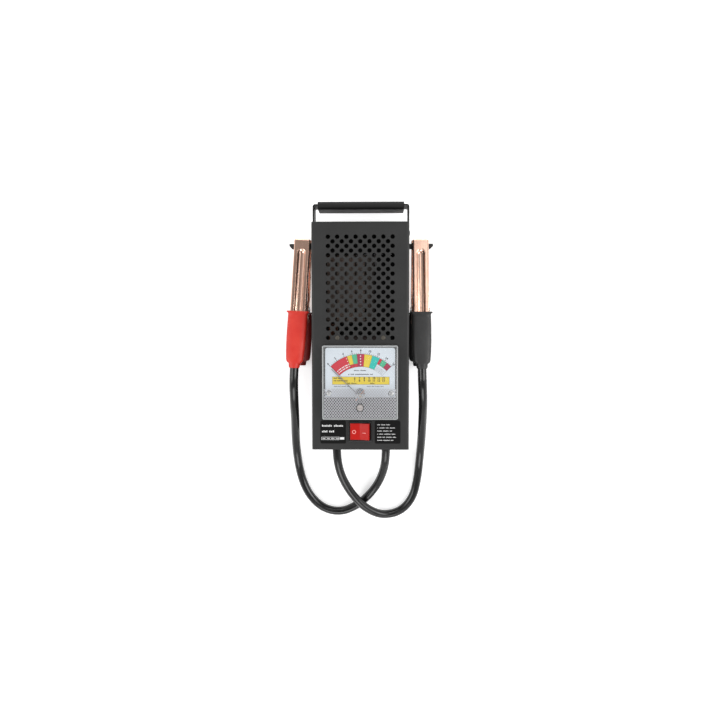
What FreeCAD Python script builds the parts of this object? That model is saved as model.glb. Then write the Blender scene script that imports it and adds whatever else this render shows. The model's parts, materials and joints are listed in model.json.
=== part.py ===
"""Battery load tester lying on its back, in millimetres.

Frame: origin at the centre of the case's back face, +X to the right of the front panel,
+Y towards the carrying handle, +Z out of the front panel.
"""
import FreeCAD, Part
import math
import os
import re
import Sketcher

V = FreeCAD.Vector
doc = FreeCAD.newDocument("BatteryTester")

# ---------------------------------------------------------------- driving dimensions
DIMENSIONS = {
    # case
    "case_width": 121.4, "case_height": 283, "case_depth": 78,
    "sheet": 1.2, "bend": 3, "fit": 0.1,
    "flange_depth": 14, "flange_length": 262,
    "vent_radius": 2.75, "vent_pitch": 5.7, "vent_drop": 5.66, "vent_top": 123,
    "vent_rows": 12, "vent_columns": 8, "back_vent_rows": 7, "back_vent_top": 112,
    # carrying handle
    "strap_width": 22, "strap_sheet": 1.6, "strap_top": 170.4, "strap_foot": 125,
    "strap_middle": 38, "strap_bend": 3.2, "grip_length": 111, "grip_low": 163.5,
    "grip_high": 173.6, "grip_depth": 28, "handle_rivet_y": 134, "handle_rivet_half_gap": 6,
    # clamp hangers
    "ear_low": 114, "ear_high": 121, "ear_reach": 93.8, "ear_middle": 40.5,
    "ear_sheet": 1.5, "ear_corner": 4, "hanger_low": 104, "hanger_high": 124,
    "hanger_depth": 58, "hanger_rivet_z": 51, "hanger_rivet_low": 108.5,
    "hanger_rivet_high": 118.5,
    # cable exits
    "exit_x": 33, "exit_z": 39, "lead_radius": 5.6, "grommet_radius": 8.8,
    "grommet_neck": 7.2, "grommet_lip": 2,
    # load
    "turn_pitch": 12.5, "turns": 7, "ribbon_width": 10.6, "ribbon_sheet": 0.9,
    "coil_low": 17, "coil_high": 104, "coil_front": 62, "coil_rear": 35.1,
    "coil_bend": 5, "stub": 10, "bar_sheet": 5, "bar_half": 56, "post_x": 51.5,
    "post_radius": 2.8,
    # heat shield
    "shield_y": -8, "shield_sheet": 1.5, "shield_lip": 8, "shield_half": 56,
    "shield_lip_half": 34.5, "shield_low": 4, "shield_rivet_x": 28.5,
    "shield_rivet_y": -1.52,
    # copper strips
    "bus_width": 12, "bus_sheet": 2, "bus_low": -124, "bus_high": 29,
    "switch_bus_low": -108,
    # meter
    "meter_width": 92.8, "meter_corner": 2.2, "meter_height": 91, "meter_y": -56.3, "meter_base_sheet": 3,
    "meter_front": 90.5, "meter_wall": 2, "barrel_y": -69.7, "barrel_radius": 29,
    "barrel_back": 46,
    "dial_back": 84, "dial_sheet": 0.8, "dial_half": 43, "dial_top": -13.8,
    "dial_foot": -74.7, "pivot_y": -74.1, "arch_radius": 5.7, "screen_foot": -99.4,
    "dial_screw_x": 38.6, "dial_screw_y": -70.4,
    "magnet_radius": 22, "gap_radius": 14, "core_radius": 9.5, "coil_radius": 12.4,
    "magnet_low": 56, "magnet_high": 72, "pointer_rest": 46, "pointer_reach": 49,
    "adjuster_y": -87.3, "adjuster_radius": 3.2, "meter_stud_x": 40,
    "meter_stud_y": 38, "meter_terminal_x": 12,
    # switch
    "switch_y": -118.4, "bezel_width": 30.5, "bezel_height": 25.4, "bezel_sheet": 2,
    "switch_half_x": 14, "switch_half_y": 11.3, "switch_back": 46, "rocker_half_x": 12,
    "rocker_half_y": 10.2, "rocker_rise": 6, "rocker_axis_z": 76, "rocker_tilt": 9, "lever_axis_z": 61,
    "lever_tilt": 4.5,
    # labels
    "label_x": 34, "label_width": 32, "label_low": -133.7, "label_high": -104.9,
    "label_sheet": 0.3,
    # clamps, in their own frame with the origin at the pivot pin
    "red_clamp_x": -80.5, "black_clamp_x": 77.4, "red_clamp_y": 35.2, "black_clamp_y": 34.3,
    "red_lean": -2.7, "black_lean": 0.1,
    "jaw_sheet": 1.2, "jaw_half": 10.3, "rear_jaw_half": 11.55, "tip_y": 91.7,
    "tip_w": 6, "knee_y": -2.5, "knee_w": 17.5, "handle_end_y": -45,
    "handle_end_w": 27.1, "jaw_gap": 0.85, "pin_radius": 2.5,
    "boot_end_y": -68, "boot_half": 12.3, "boot_end_half": 10.9,
    "rear_boot_half": 14, "rear_boot_end_half": 12.9, "mouth_low": 8.6,
    "mouth_high": 19.8, "end_low": 21, "end_high": 33.4, "collar_length": 7,
    "collar_w": 26.7, "collar_radius": 6.8, "groove_half": 4.5, "groove_top": 77,
    "spring_radius": 5.2, "spring_wire": 1,
}

sheet = doc.addObject("Spreadsheet::Sheet", "Dims")
for number, (alias, value) in enumerate(DIMENSIONS.items(), start=1):
    sheet.set(f"A{number}", alias)
    sheet.set(f"B{number}", str(value))
    sheet.setAlias(f"B{number}", alias)
doc.recompute()


def in_sheet(expression):
    """The expression with each alias written as a cell of the sheet."""
    return re.sub(r"[a-z_]+", lambda m: f"Dims.{m[0]}" if m[0] in DIMENSIONS else m[0],
                  str(expression))


def size(expression):
    """The value of an expression of the sheet's aliases, for shapes made in code."""
    return float(sheet.evalExpression(str(expression)))


def bind(thing, **expressions):
    """Bind properties to expressions of the sheet; Base_x stands for Placement.Base.x."""
    for name, expression in expressions.items():
        path = re.sub(r"^Base_", "Placement.Base.", name)
        thing.setExpression(path, in_sheet(expression))


def new_body(label):
    """An empty PartDesign body, which may hold several separate solids."""
    made = doc.addObject("PartDesign::Body", label)
    made.Label = label
    made.AllowCompound = True
    return made


def feature(owner, kind):
    """A new PartDesign feature at the end of a body."""
    return owner.newObject(f"PartDesign::{kind}", f"{owner.Name}_{kind}")


def block(owner, x, y, z, cut=False):
    """A box between low and high expressions on each axis."""
    made = feature(owner, "SubtractiveBox" if cut else "AdditiveBox")
    bind(made, Length=f"({x[1]}) - ({x[0]})", Width=f"({y[1]}) - ({y[0]})",
         Height=f"({z[1]}) - ({z[0]})", Base_x=x[0], Base_y=y[0], Base_z=z[0])
    return made


AXIS_TURN = {"x": (V(0, 1, 0), 90), "y": (V(1, 0, 0), -90), "z": (V(0, 0, 1), 0)}


def rod(owner, axis, centre, span, radius, cut=False):
    """A cylinder along one axis; centre gives its other two coordinates in X, Y, Z order."""
    made = feature(owner, "SubtractiveCylinder" if cut else "AdditiveCylinder")
    made.Placement = FreeCAD.Placement(V(), FreeCAD.Rotation(*AXIS_TURN[axis]))
    others = [name for name in "xyz" if name != axis]
    places = {f"Base_{name}": value for name, value in zip(others, centre)}
    places[f"Base_{axis}"] = span[0]
    bind(made, Radius=radius, Height=f"({span[1]}) - ({span[0]})", **places)
    return made


def outline(owner, plane, points, offset="0"):
    """A closed polygon on an origin plane, each corner held by two bound distances."""
    drawn = owner.newObject("Sketcher::SketchObject", f"{owner.Name}_sketch")
    base = [item for item in owner.Origin.OriginFeatures if item.Role == plane][0]
    drawn.AttachmentSupport = [(base, "")]
    drawn.MapMode = "FlatFace"
    drawn.setExpression("AttachmentOffset.Base.z", in_sheet(offset))
    corners = [V(size(a), size(b), 0) for a, b in points]
    count = len(corners)
    for index, corner in enumerate(corners):
        drawn.addGeometry(Part.LineSegment(corner, corners[(index + 1) % count]), False)
    for index in range(count):
        drawn.addConstraint(Sketcher.Constraint("Coincident", index, 2, (index + 1) % count, 1))
    for index, (a, b) in enumerate(points):
        for kind, value in (("DistanceX", a), ("DistanceY", b)):
            held = drawn.addConstraint(Sketcher.Constraint(kind, -1, 1, index, 1, size(value)))
            drawn.setExpression(f"Constraints[{held}]", in_sheet(value))
    return drawn


def pad(owner, drawn, length, symmetric=True):
    """The sketch pushed out into a solid."""
    made = feature(owner, "Pad")
    made.Profile = drawn
    made.SideType = "Symmetric" if symmetric else "One side"
    bind(made, Length=length)
    return made


def pocket(owner, drawn, length):
    """The sketch cut to both sides of its plane."""
    made = feature(owner, "Pocket")
    made.Profile = drawn
    made.SideType = "Symmetric"
    bind(made, Length=length)
    return made


def hexagon(owner, centre, span, radius):
    """A hexagonal prism along Z, for a nut or a screw head."""
    made = feature(owner, "AdditivePrism")
    made.Polygon = 6
    bind(made, Circumradius=radius, Height=f"({span[1]}) - ({span[0]})",
         Base_x=centre[0], Base_y=centre[1], Base_z=span[0])
    return made


def grid(owner, original, directions, mode="Features"):
    """Repeat a feature, or all before it, along one or two axes: (axis, step, count) each."""
    made = feature(owner, "LinearPattern")
    made.Originals = [original]
    made.TransformMode = mode
    for tail, (axis, step, count) in zip(("", "2"), directions):
        # Along its second direction the pattern makes one fewer than it is told.
        if tail == "2":
            count = f"{count} + 1"
        line = [item for item in owner.Origin.OriginFeatures if item.Role == f"{axis[-1]}_Axis"]
        setattr(made, f"Direction{tail}", (line[0], [""]))
        setattr(made, f"Mode{tail}", "Spacing")
        setattr(made, f"Reversed{tail}", axis.startswith("-"))
        bind(made, **{f"Offset{tail}": step, f"Occurrences{tail}": count})
    owner.Tip = made
    return made


def along(edge, direction):
    """True if a straight edge runs along the direction."""
    if edge.Curve.TypeId != "Part::GeomLine":
        return False
    return abs(edge.Curve.Direction.dot(direction)) > 0.999


def round_off(owner, radius, wanted):
    """Fillet the edges of the body's last feature that the test accepts."""
    doc.recompute()
    last = owner.Tip
    names = [f"Edge{number}" for number, edge in enumerate(last.Shape.Edges, start=1)
             if wanted(edge, edge.CenterOfMass)]
    made = feature(owner, "Fillet")
    made.Base = (last, names)
    bind(made, Radius=radius)
    return made


def sides(sign, low, high):
    """An interval on the right for +1, or its mirror image on the left for -1."""
    return (low, high) if sign > 0 else (f"-({high})", f"-({low})")


# ---------------------------------------------------------------- case
FRONT = "case_depth"
INNER_X = "case_width / 2 - sheet"


def vents(owner, rows, top, low_z, high_z):
    """Staggered round holes: full rows, and rows of one hole fewer between them."""
    left = "-vent_pitch * (vent_columns - 1)"
    for shift, fewer in ((0, 0), (1, 1)):
        hole = rod(owner, "z", (f"{left} + {shift} * vent_pitch", f"{top} - {shift} * vent_drop"),
                   (low_z, high_z), "vent_radius", cut=True)
        grid(owner, hole, [("X", "2 * vent_pitch", f"vent_columns - {fewer}"),
                           ("-Y", "2 * vent_drop", f"{rows} - {fewer}")])


def make_front_cover():
    """Front panel and both side walls, bent from one sheet."""
    cover = new_body("front_cover")
    x = "case_width / 2"
    inner_z = "case_depth - sheet"
    section = [(f"-{x}", "0"), (f"-{x}", FRONT), (x, FRONT), (x, "0"), (INNER_X, "0"),
               (INNER_X, inner_z), (f"-({INNER_X})", inner_z), (f"-({INNER_X})", "0")]
    pad(cover, outline(cover, "XZ_Plane", section), "case_height")
    depth = size(FRONT)
    round_off(cover, "bend", lambda e, c: along(e, V(0, 1, 0)) and c.z > depth - 0.01)
    inner = size(inner_z)
    round_off(cover, "bend - sheet",
              lambda e, c: along(e, V(0, 1, 0)) and abs(c.z - inner) < 0.01)
    through = ("case_depth - 2 * sheet", "case_depth + sheet")
    rod(cover, "z", ("0", "barrel_y"), through, "barrel_radius + 0.5", cut=True)
    for x_sign in (-1, 1):
        for y_sign in (-1, 1):
            rod(cover, "z", (f"{x_sign} * meter_stud_x", f"meter_y + {y_sign} * meter_stud_y"),
                through, "1.6", cut=True)
    block(cover, ("-switch_half_x - 0.1", "switch_half_x + 0.1"),
          ("switch_y - switch_half_y - 0.1", "switch_y + switch_half_y + 0.1"),
          through, cut=True)
    wide = ("-case_width / 2 - 1", "case_width / 2 + 1")
    block(cover, wide, ("ear_low - 0.3", "ear_high + 0.3"),
          ("ear_middle - ear_sheet / 2 - 0.2", "ear_middle + ear_sheet / 2 + 0.2"), cut=True)
    for y in SCREW_ROWS:
        rod(cover, "x", (y, "flange_depth / 2"), wide, "1.55", cut=True)
    for y, z in HANDLE_RIVETS + HANGER_RIVETS:
        rod(cover, "x", (y, z), wide, "2.05", cut=True)
    vents(cover, "vent_rows", "vent_top", *through)


def make_rear_chassis():
    """Back, top and bottom walls with two side flanges, bent from one sheet."""
    chassis = new_body("rear_chassis")
    y = "case_height / 2"
    top = "case_depth - sheet - fit"
    section = [(f"-{y}", "0"), (y, "0"), (y, top), (f"{y} - sheet", top),
               (f"{y} - sheet", "sheet"), (f"-{y} + sheet", "sheet"), (f"-{y} + sheet", top),
               (f"-{y}", top)]
    pad(chassis, outline(chassis, "YZ_Plane", section), "2 * (case_width / 2 - sheet - fit)")
    round_off(chassis, "bend", lambda e, c: along(e, V(1, 0, 0)) and c.z < 0.01)
    brim = size(top)
    round_off(chassis, "bend", lambda e, c: along(e, V(0, 1, 0)) and c.z > brim - 0.01)
    for sign in (-1, 1):
        block(chassis, sides(sign, "case_width / 2 - 2 * sheet - fit", "case_width / 2 - sheet - fit"),
              ("-flange_length / 2", "flange_length / 2"), ("sheet / 2", "flange_depth"))
        rod(chassis, "y", (f"{sign} * exit_x", "exit_z"), ("-case_height / 2 - 1", "-case_height / 2 + 3"),
            "grommet_neck", cut=True)
    for row_y in SCREW_ROWS:
        rod(chassis, "x", (row_y, "flange_depth / 2"), ("-case_width / 2", "case_width / 2"),
            "1.55", cut=True)
    vents(chassis, "back_vent_rows", "back_vent_top", "-sheet", "2 * sheet")


def fastener(owner, axis, centre, head, shank, tail=None, sign=1):
    """A head and a shank on one axis; each is (low, high, radius) outward on the sign's side."""
    for part in (head, shank, tail):
        if part:
            low, high, radius = part
            rod(owner, axis, centre, sides(sign, low, high), radius)


SCREW_ROWS = ["-116", "4", "122"]
HANDLE_RIVETS = [("handle_rivet_y", "strap_middle - handle_rivet_half_gap"),
                 ("handle_rivet_y", "strap_middle + handle_rivet_half_gap")]
HANGER_RIVETS = [("hanger_rivet_low", "hanger_rivet_z"), ("hanger_rivet_high", "hanger_rivet_z")]


def make_side_fasteners():
    """Cover screws, handle rivets and hanger rivets on both sides of the case."""
    screws = new_body("cover_screws")
    handle = new_body("handle_rivets")
    hanger = new_body("hanger_rivets")
    skin = "case_width / 2"
    strap = "case_width / 2 + strap_sheet"
    for sign in (-1, 1):
        for y in SCREW_ROWS:
            fastener(screws, "x", (y, "flange_depth / 2"), (skin, f"{skin} + 2", "3.1"),
                     (f"{skin} - 5.5", skin, "1.5"), sign=sign)
        for y, z in HANDLE_RIVETS:
            fastener(handle, "x", (y, z), (strap, f"{strap} + 1.4", "3.4"),
                     (INNER_X, strap, "2"), (f"{INNER_X} - 1.2", INNER_X, "3"), sign)
        for y, z in HANGER_RIVETS:
            fastener(hanger, "x", (y, z), (skin, f"{skin} + 1.4", "3"),
                     (f"{INNER_X} - ear_sheet", skin, "2"),
                     (f"{INNER_X} - ear_sheet - 1.2", f"{INNER_X} - ear_sheet", "3"), sign)


def make_handle():
    """Steel strap outside the side walls, with a moulded grip round its web."""
    strap = new_body("handle_strap")
    z = ("strap_middle - strap_width / 2", "strap_middle + strap_width / 2")
    outer = "case_width / 2 + strap_sheet"
    for sign in (-1, 1):
        block(strap, sides(sign, "case_width / 2", outer), ("strap_foot", "strap_top"), z)
    block(strap, (f"-({outer})", outer), ("strap_top - strap_sheet", "strap_top"), z)
    high = size("strap_top")
    round_off(strap, "strap_bend", lambda e, c: along(e, V(0, 0, 1)) and c.y > high - 0.01)
    inside = size("strap_top - strap_sheet")
    half = size("case_width / 2")
    round_off(strap, "strap_bend - strap_sheet", lambda e, c: along(e, V(0, 0, 1))
              and abs(c.y - inside) < 0.01 and abs(abs(c.x) - half) < 0.01)
    foot = size("strap_foot")
    round_off(strap, "strap_width / 4", lambda e, c: along(e, V(1, 0, 0)) and c.y < foot + 0.01)
    for y, rivet_z in HANDLE_RIVETS:
        rod(strap, "x", (y, rivet_z), (f"-({outer}) - 1", f"{outer} + 1"), "2.05", cut=True)

    grip = new_body("handle_grip")
    block(grip, ("-grip_length / 2", "grip_length / 2"), ("grip_low", "grip_high"),
          ("strap_middle - grip_depth / 2", "strap_middle + grip_depth / 2"))
    round_off(grip, "(grip_high - grip_low) * 0.45", lambda e, c: along(e, V(1, 0, 0)))
    block(grip, ("-grip_length", "grip_length"), ("strap_top - strap_sheet", "strap_top"), z, cut=True)


def make_hanger(label, sign):
    """L bracket riveted inside a side wall; its ear sticks out through a slot."""
    hanger = new_body(label)
    inner = f"{INNER_X} - ear_sheet"
    shape = [(inner, "ear_high"), ("ear_reach", "ear_high"), ("ear_reach", "ear_low + ear_corner"),
             ("ear_reach - ear_corner", "ear_low"), (inner, "ear_low")]
    signed = [(f"{sign} * ({a})", b) for a, b in shape]
    pad(hanger, outline(hanger, "XY_Plane", signed, "ear_middle"), "ear_sheet")
    block(hanger, sides(sign, inner, INNER_X), ("hanger_low", "hanger_high"),
          ("ear_middle - ear_sheet / 2", "hanger_depth"))
    for y, z in HANGER_RIVETS:
        rod(hanger, "x", (y, z), sides(sign, f"{inner} - 1", "case_width / 2 + 1"), "2.05", cut=True)


def make_grommet(label, sign):
    """Rubber bush in the bottom wall, round one lead."""
    grommet = new_body(label)
    wall = "-case_height / 2"
    centre = (f"{sign} * exit_x", "exit_z")
    rod(grommet, "y", centre, (f"{wall} - grommet_lip", wall), "grommet_radius")
    rod(grommet, "y", centre, (wall, f"{wall} + sheet"), "grommet_neck")
    rod(grommet, "y", centre, (f"{wall} + sheet", f"{wall} + sheet + grommet_lip"),
        "grommet_radius")
    rod(grommet, "y", centre, (f"{wall} - 5", f"{wall} + 8"), "lead_radius + 0.05", cut=True)


# ---------------------------------------------------------------- load
def make_load():
    """Resistance ribbon wound in open turns that are joined by slanted rear legs."""
    ribbon = new_body("load_element")
    first = "-turn_pitch * (turns - 1) / 2"
    inner = ("coil_low + ribbon_sheet", "coil_high - ribbon_sheet")
    back = ("coil_rear", "coil_rear + ribbon_sheet")
    turn = [("coil_low", back[0]), ("coil_low", "coil_front"), ("coil_high", "coil_front"),
            ("coil_high", back[0]), ("coil_high - stub", back[0]), ("coil_high - stub", back[1]),
            (inner[1], back[1]), (inner[1], "coil_front - ribbon_sheet"),
            (inner[0], "coil_front - ribbon_sheet"), (inner[0], back[1]),
            ("coil_low + stub", back[1]), ("coil_low + stub", back[0])]
    pad(ribbon, outline(ribbon, "YZ_Plane", turn, first), "ribbon_width")
    for radius, low, high in (("coil_bend - ribbon_sheet", size(inner[0]), size(inner[1])),
                              ("coil_bend", size("coil_low"), size("coil_high"))):
        round_off(ribbon, radius, lambda e, c: along(e, V(1, 0, 0))
                  and min(abs(c.y - low), abs(c.y - high)) < 0.01)
    half = "ribbon_width / 2"
    leg = [(f"{first} - {half}", "coil_high - stub"), (f"{first} + {half}", "coil_high - stub"),
           (f"{first} + turn_pitch + {half}", "coil_low + stub"),
           (f"{first} + turn_pitch - {half}", "coil_low + stub")]
    slanted = pad(ribbon, outline(ribbon, "XY_Plane", leg, "coil_rear"), "ribbon_sheet",
                  symmetric=False)
    grid(ribbon, slanted, [("X", "turn_pitch", "turns")], mode="Whole shape")


def make_insulators():
    """Two ceramic bars inside the turns, each on two posts from the back panel."""
    posts = new_body("insulator_posts")
    bar_back = "coil_rear + coil_bend + 1"
    for label, middle in (("upper_insulator", "coil_high - ribbon_sheet - bar_sheet / 2"),
                          ("lower_insulator", "coil_low + ribbon_sheet + bar_sheet / 2")):
        bar = new_body(label)
        block(bar, ("-bar_half", "bar_half"), (f"{middle} - bar_sheet / 2", f"{middle} + bar_sheet / 2"),
              (bar_back, "coil_front - coil_bend - 1"))
        for sign in (-1, 1):
            rod(posts, "z", (f"{sign} * post_x", middle), ("sheet", bar_back), "post_radius")


def make_heat_shield():
    """Fibre board below the load: a lip riveted behind the front panel and a wall."""
    shield = new_body("heat_shield")
    under = "case_depth - sheet"
    block(shield, ("-shield_half", "shield_half"), ("shield_y - shield_sheet", "shield_y"),
          ("shield_low", under))
    block(shield, ("-shield_lip_half", "shield_lip_half"), ("shield_y - 0.1", "shield_y + shield_lip"),
          (f"{under} - shield_sheet", under))
    for low, high in (("-turn_pitch * 3 - bus_width / 2 - 1", "-turn_pitch * 3 + bus_width / 2 + 1"),
                      ("turn_pitch * 4 - bus_width / 2 - 1", "turn_pitch * 4 + bus_width / 2 + 1")):
        block(shield, (low, high), ("shield_y - 5", "shield_y + 5"),
              ("coil_rear - bus_sheet - 1", "coil_rear + 1"), cut=True)
    rivets = new_body("heat_shield_rivets")
    for sign in (-1, 1):
        centre = (f"{sign} * shield_rivet_x", "shield_rivet_y")
        rod(shield, "z", centre, (f"{under} - 3", f"{under} + 1"), "2.05", cut=True)
        rod(rivets, "z", centre, (FRONT, f"{FRONT} + 1"), "2.8")
        rod(rivets, "z", centre, (f"{under} - shield_sheet", FRONT), "2")
        rod(rivets, "z", centre, (f"{under} - shield_sheet - 1.2", f"{under} - shield_sheet"), "3")


def make_strips():
    """Copper strips, the leads' lugs and the screws that join them."""
    z = ("coil_rear - bus_sheet", "coil_rear")
    positive = new_body("positive_bus")
    block(positive, ("4", "exit_x + 6"), ("bus_low", "bus_low + bus_width"), z)
    switched = new_body("switch_bus")
    block(switched, ("-13", "-2"), ("bus_low", "switch_bus_low + 10"), z)
    block(switched, ("-13", "turn_pitch * 4 + bus_width / 2"),
          ("switch_bus_low", "switch_bus_low + 10"), z)
    block(switched, ("turn_pitch * 4 - bus_width / 2", "turn_pitch * 4 + bus_width / 2"),
          ("switch_bus_low", "coil_low - 5"), z)
    block(switched, ("turn_pitch * 4 - bus_width / 2", "turn_pitch * 4 - bus_width / 6"),
          ("coil_low - 6", "bus_high"), z)
    negative = new_body("negative_bus")
    block(negative, ("-turn_pitch * 3 - bus_width / 2", "-turn_pitch * 3 + bus_width / 2"),
          ("bus_low", "bus_high"), z)
    lugs = new_body("lead_lugs")
    screws = new_body("bus_screws")
    for sign in (-1, 1):
        rod(lugs, "y", (f"{sign} * exit_x", "exit_z"), ("-137", "-126"), "lead_radius + 1")
        block(lugs, sides(sign, "exit_x - 5.5", "exit_x + 5.5"), ("-127", "bus_low + bus_width"),
              ("coil_rear", "coil_rear + 1.6"))
        rod(lugs, "y", (f"{sign} * exit_x", "exit_z"), ("-138", "-129"), "lead_radius", cut=True)
        centre = (f"{sign} * exit_x", "bus_low + bus_width / 2")
        rod(lugs, "z", centre, ("coil_rear - 1", "coil_rear + 5"), "2.55", cut=True)
        rod(positive if sign > 0 else negative, "z", centre, ("coil_rear - 5", "coil_rear + 5"),
            "2.55", cut=True)
        hexagon(screws, centre, ("coil_rear + 1.6", "coil_rear + 5"), "4.6")
        rod(screws, "z", centre, ("coil_rear - bus_sheet - 4", "coil_rear + 1.6"), "2.5")
        hexagon(screws, centre, ("coil_rear - bus_sheet - 3.2", "coil_rear - bus_sheet"), "4.6")


# ---------------------------------------------------------------- meter
METER_X = ("-meter_width / 2", "meter_width / 2")
METER_Y = ("meter_y - meter_height / 2", "meter_y + meter_height / 2")
BASE_TOP = "case_depth + meter_base_sheet"


def make_meter_case():
    """Black base with a round barrel, the clear front and the printed plates."""
    base = new_body("meter_base")
    block(base, METER_X, METER_Y, (FRONT, BASE_TOP))
    round_off(base, "meter_corner", lambda e, c: along(e, V(0, 0, 1)))
    rod(base, "z", ("0", "barrel_y"), ("barrel_back", FRONT), "barrel_radius")
    rod(base, "z", ("0", "barrel_y"), ("barrel_back + meter_wall", f"{BASE_TOP} + 1"),
        "barrel_radius - meter_wall", cut=True)
    for sign in (-1, 1):
        rod(base, "z", (f"{sign} * dial_screw_x", "dial_screw_y"), (BASE_TOP, "dial_back"), "3")

    cover = new_body("meter_cover")
    block(cover, METER_X, METER_Y, (BASE_TOP, "meter_front"))
    round_off(cover, "meter_corner", lambda e, c: along(e, V(0, 0, 1)))
    front = size("meter_front")
    round_off(cover, "1.2", lambda e, c: abs(c.z - front) < 0.01)
    block(cover, ("-meter_width / 2 + meter_wall", "meter_width / 2 - meter_wall"),
          ("meter_y - meter_height / 2 + meter_wall", "meter_y + meter_height / 2 - meter_wall"),
          (f"{BASE_TOP} - 1", "meter_front - meter_wall"), cut=True)
    block(cover, ("-4.8", "4.8"), ("adjuster_y - 3.4", "adjuster_y + 3.4"),
          ("meter_front - 0.5", "meter_front + 0.8"))
    for sign in (-1, 1):
        rod(cover, "z", ("0", f"adjuster_y + {sign} * 3.4"), ("meter_front - 0.5", "meter_front + 0.8"),
            "4.8")
    rod(cover, "z", ("0", "adjuster_y"), ("meter_front - 5", "meter_front + 5"),
        "adjuster_radius + 0.08", cut=True)

    dial = new_body("dial_plate")
    z = ("dial_back", "dial_back + dial_sheet")
    block(dial, ("-dial_half", "dial_half"), ("dial_foot", "dial_top"), z)
    round_off(dial, "3", lambda e, c: along(e, V(0, 0, 1)) and c.y > -20)
    through = ("dial_back - 1", "dial_back + 2")
    rod(dial, "z", ("0", "pivot_y + 4.8"), through, "arch_radius", cut=True)
    block(dial, ("-arch_radius", "arch_radius"), ("dial_foot - 1", "pivot_y + 4.8"), through, cut=True)

    screen = new_body("meter_screen")
    block(screen, ("-dial_half", "dial_half"), ("screen_foot", "dial_foot - 0.2"), z)
    block(screen, ("-arch_radius", "arch_radius"), ("adjuster_y + 6", "dial_foot"), through, cut=True)
    rod(screen, "z", ("0", "adjuster_y"), through, "4.2", cut=True)

    screws = new_body("dial_screws")
    for sign in (-1, 1):
        centre = (f"{sign} * dial_screw_x", "dial_screw_y")
        rod(dial, "z", centre, through, "1.3", cut=True)
        rod(base, "z", centre, ("case_depth + 1", "dial_back + 1"), "1.25", cut=True)
        rod(screws, "z", centre, ("dial_back + dial_sheet", "dial_back + dial_sheet + 1.2"), "2.4")
        rod(screws, "z", centre, ("case_depth + 1.5", "dial_back + dial_sheet"), "1.2")
        block(screws, (f"{centre[0]} - 3", f"{centre[0]} + 3"), ("dial_screw_y - 0.3", "dial_screw_y + 0.3"),
              ("dial_back + dial_sheet + 0.7", "dial_back + dial_sheet + 2"), cut=True)


def make_movement():
    """Magnet ring, core, coil frame, pointer and bearings on the pivot's axis."""
    centre = ("0", "pivot_y")
    magnet = new_body("meter_magnet")
    rod(magnet, "z", centre, ("magnet_low", "magnet_high"), "magnet_radius")
    rod(magnet, "z", centre, ("magnet_low - 1", "magnet_high + 1"), "gap_radius", cut=True)
    block(magnet, ("-9", "9"), ("meter_y - 45", "pivot_y - gap_radius + 1"),
          ("magnet_low - 1", "magnet_high + 1"), cut=True)
    core = new_body("meter_core")
    rod(core, "z", centre, ("magnet_low + 3", "magnet_high - 3"), "core_radius")
    block(core, ("-2", "2"), ("pivot_y + core_radius - 1", "pivot_y + gap_radius - 0.2"),
          ("magnet_low + 5", "magnet_high - 5"))
    rod(core, "z", centre, ("magnet_low", "magnet_high"), "1.6", cut=True)
    bridge = new_body("meter_bridge")
    for low, high in (("barrel_back + meter_wall", "barrel_back + meter_wall + 1.5"), ("81", "82.4")):
        block(bridge, ("-19", "19"), ("pivot_y - 2.6", "pivot_y + 2.6"), (low, high))
        rod(bridge, "z", centre, (f"{low} - 1", f"{high} + 1"), "1.4", cut=True)
    for sign in (-1, 1):
        rod(bridge, "z", (f"{sign} * 17", "pivot_y"), ("magnet_high", "81.5"), "1.8")
        rod(bridge, "z", (f"{sign} * 17", "pivot_y"), ("barrel_back + meter_wall + 1", "magnet_low"), "1.8")
    jewels = new_body("jewel_screws")
    rod(jewels, "z", centre, ("80", "83.6"), "1.35")
    rod(jewels, "z", centre, ("barrel_back + meter_wall", "barrel_back + meter_wall + 3"), "1.35")
    staff = new_body("pointer_staff")
    rod(staff, "z", centre, ("barrel_back + meter_wall + 3.1", "79.9"), "0.6")
    coil = new_body("moving_coil")
    frame_x = ("-coil_radius", "coil_radius")
    frame_z = ("magnet_low + 0.6", "magnet_high - 0.6")
    block(coil, frame_x, ("-1.6", "1.6"), frame_z)
    block(coil, ("-core_radius - 1", "core_radius + 1"), ("-3", "3"),
          ("magnet_low + 2", "magnet_high - 2"), cut=True)
    rod(coil, "z", ("0", "0"), ("magnet_low - 2", "magnet_high + 2"), "0.6", cut=True)
    pointer = new_body("pointer")
    rod(pointer, "z", ("0", "0"), ("76", "77"), "2")
    rod(pointer, "z", ("0", "0"), ("75", "78"), "0.6", cut=True)
    block(pointer, ("-0.5", "0.5"), ("1", "6.6"), ("76", "77"))
    block(pointer, ("-0.5", "0.5"), ("5.8", "6.6"), ("76", "86.4"))
    block(pointer, ("-0.4", "0.4"), ("5.8", "pointer_reach"), ("86", "86.4"))
    block(pointer, ("-0.5", "0.5"), ("-8", "-1"), ("76", "77"))
    block(pointer, ("-1.6", "1.6"), ("-9.5", "-7"), ("75.6", "77.4"))
    for turned in (coil, pointer):
        turned.Placement.Rotation = FreeCAD.Rotation(V(0, 0, 1), size("pointer_rest"))
        bind(turned, Base_y="pivot_y")
    adjuster = new_body("zero_adjuster")
    rod(adjuster, "z", ("0", "adjuster_y"), ("meter_front - meter_wall - 0.2", "meter_front + 1.2"),
        "adjuster_radius")
    rod(adjuster, "z", ("0", "adjuster_y"),
        ("meter_front - meter_wall - 1.4", "meter_front - meter_wall - 0.1"), "adjuster_radius + 0.8")
    block(adjuster, ("-4", "4"), ("adjuster_y - 0.5", "adjuster_y + 0.5"),
          ("meter_front + 0.3", "meter_front + 2"), cut=True)


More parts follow.
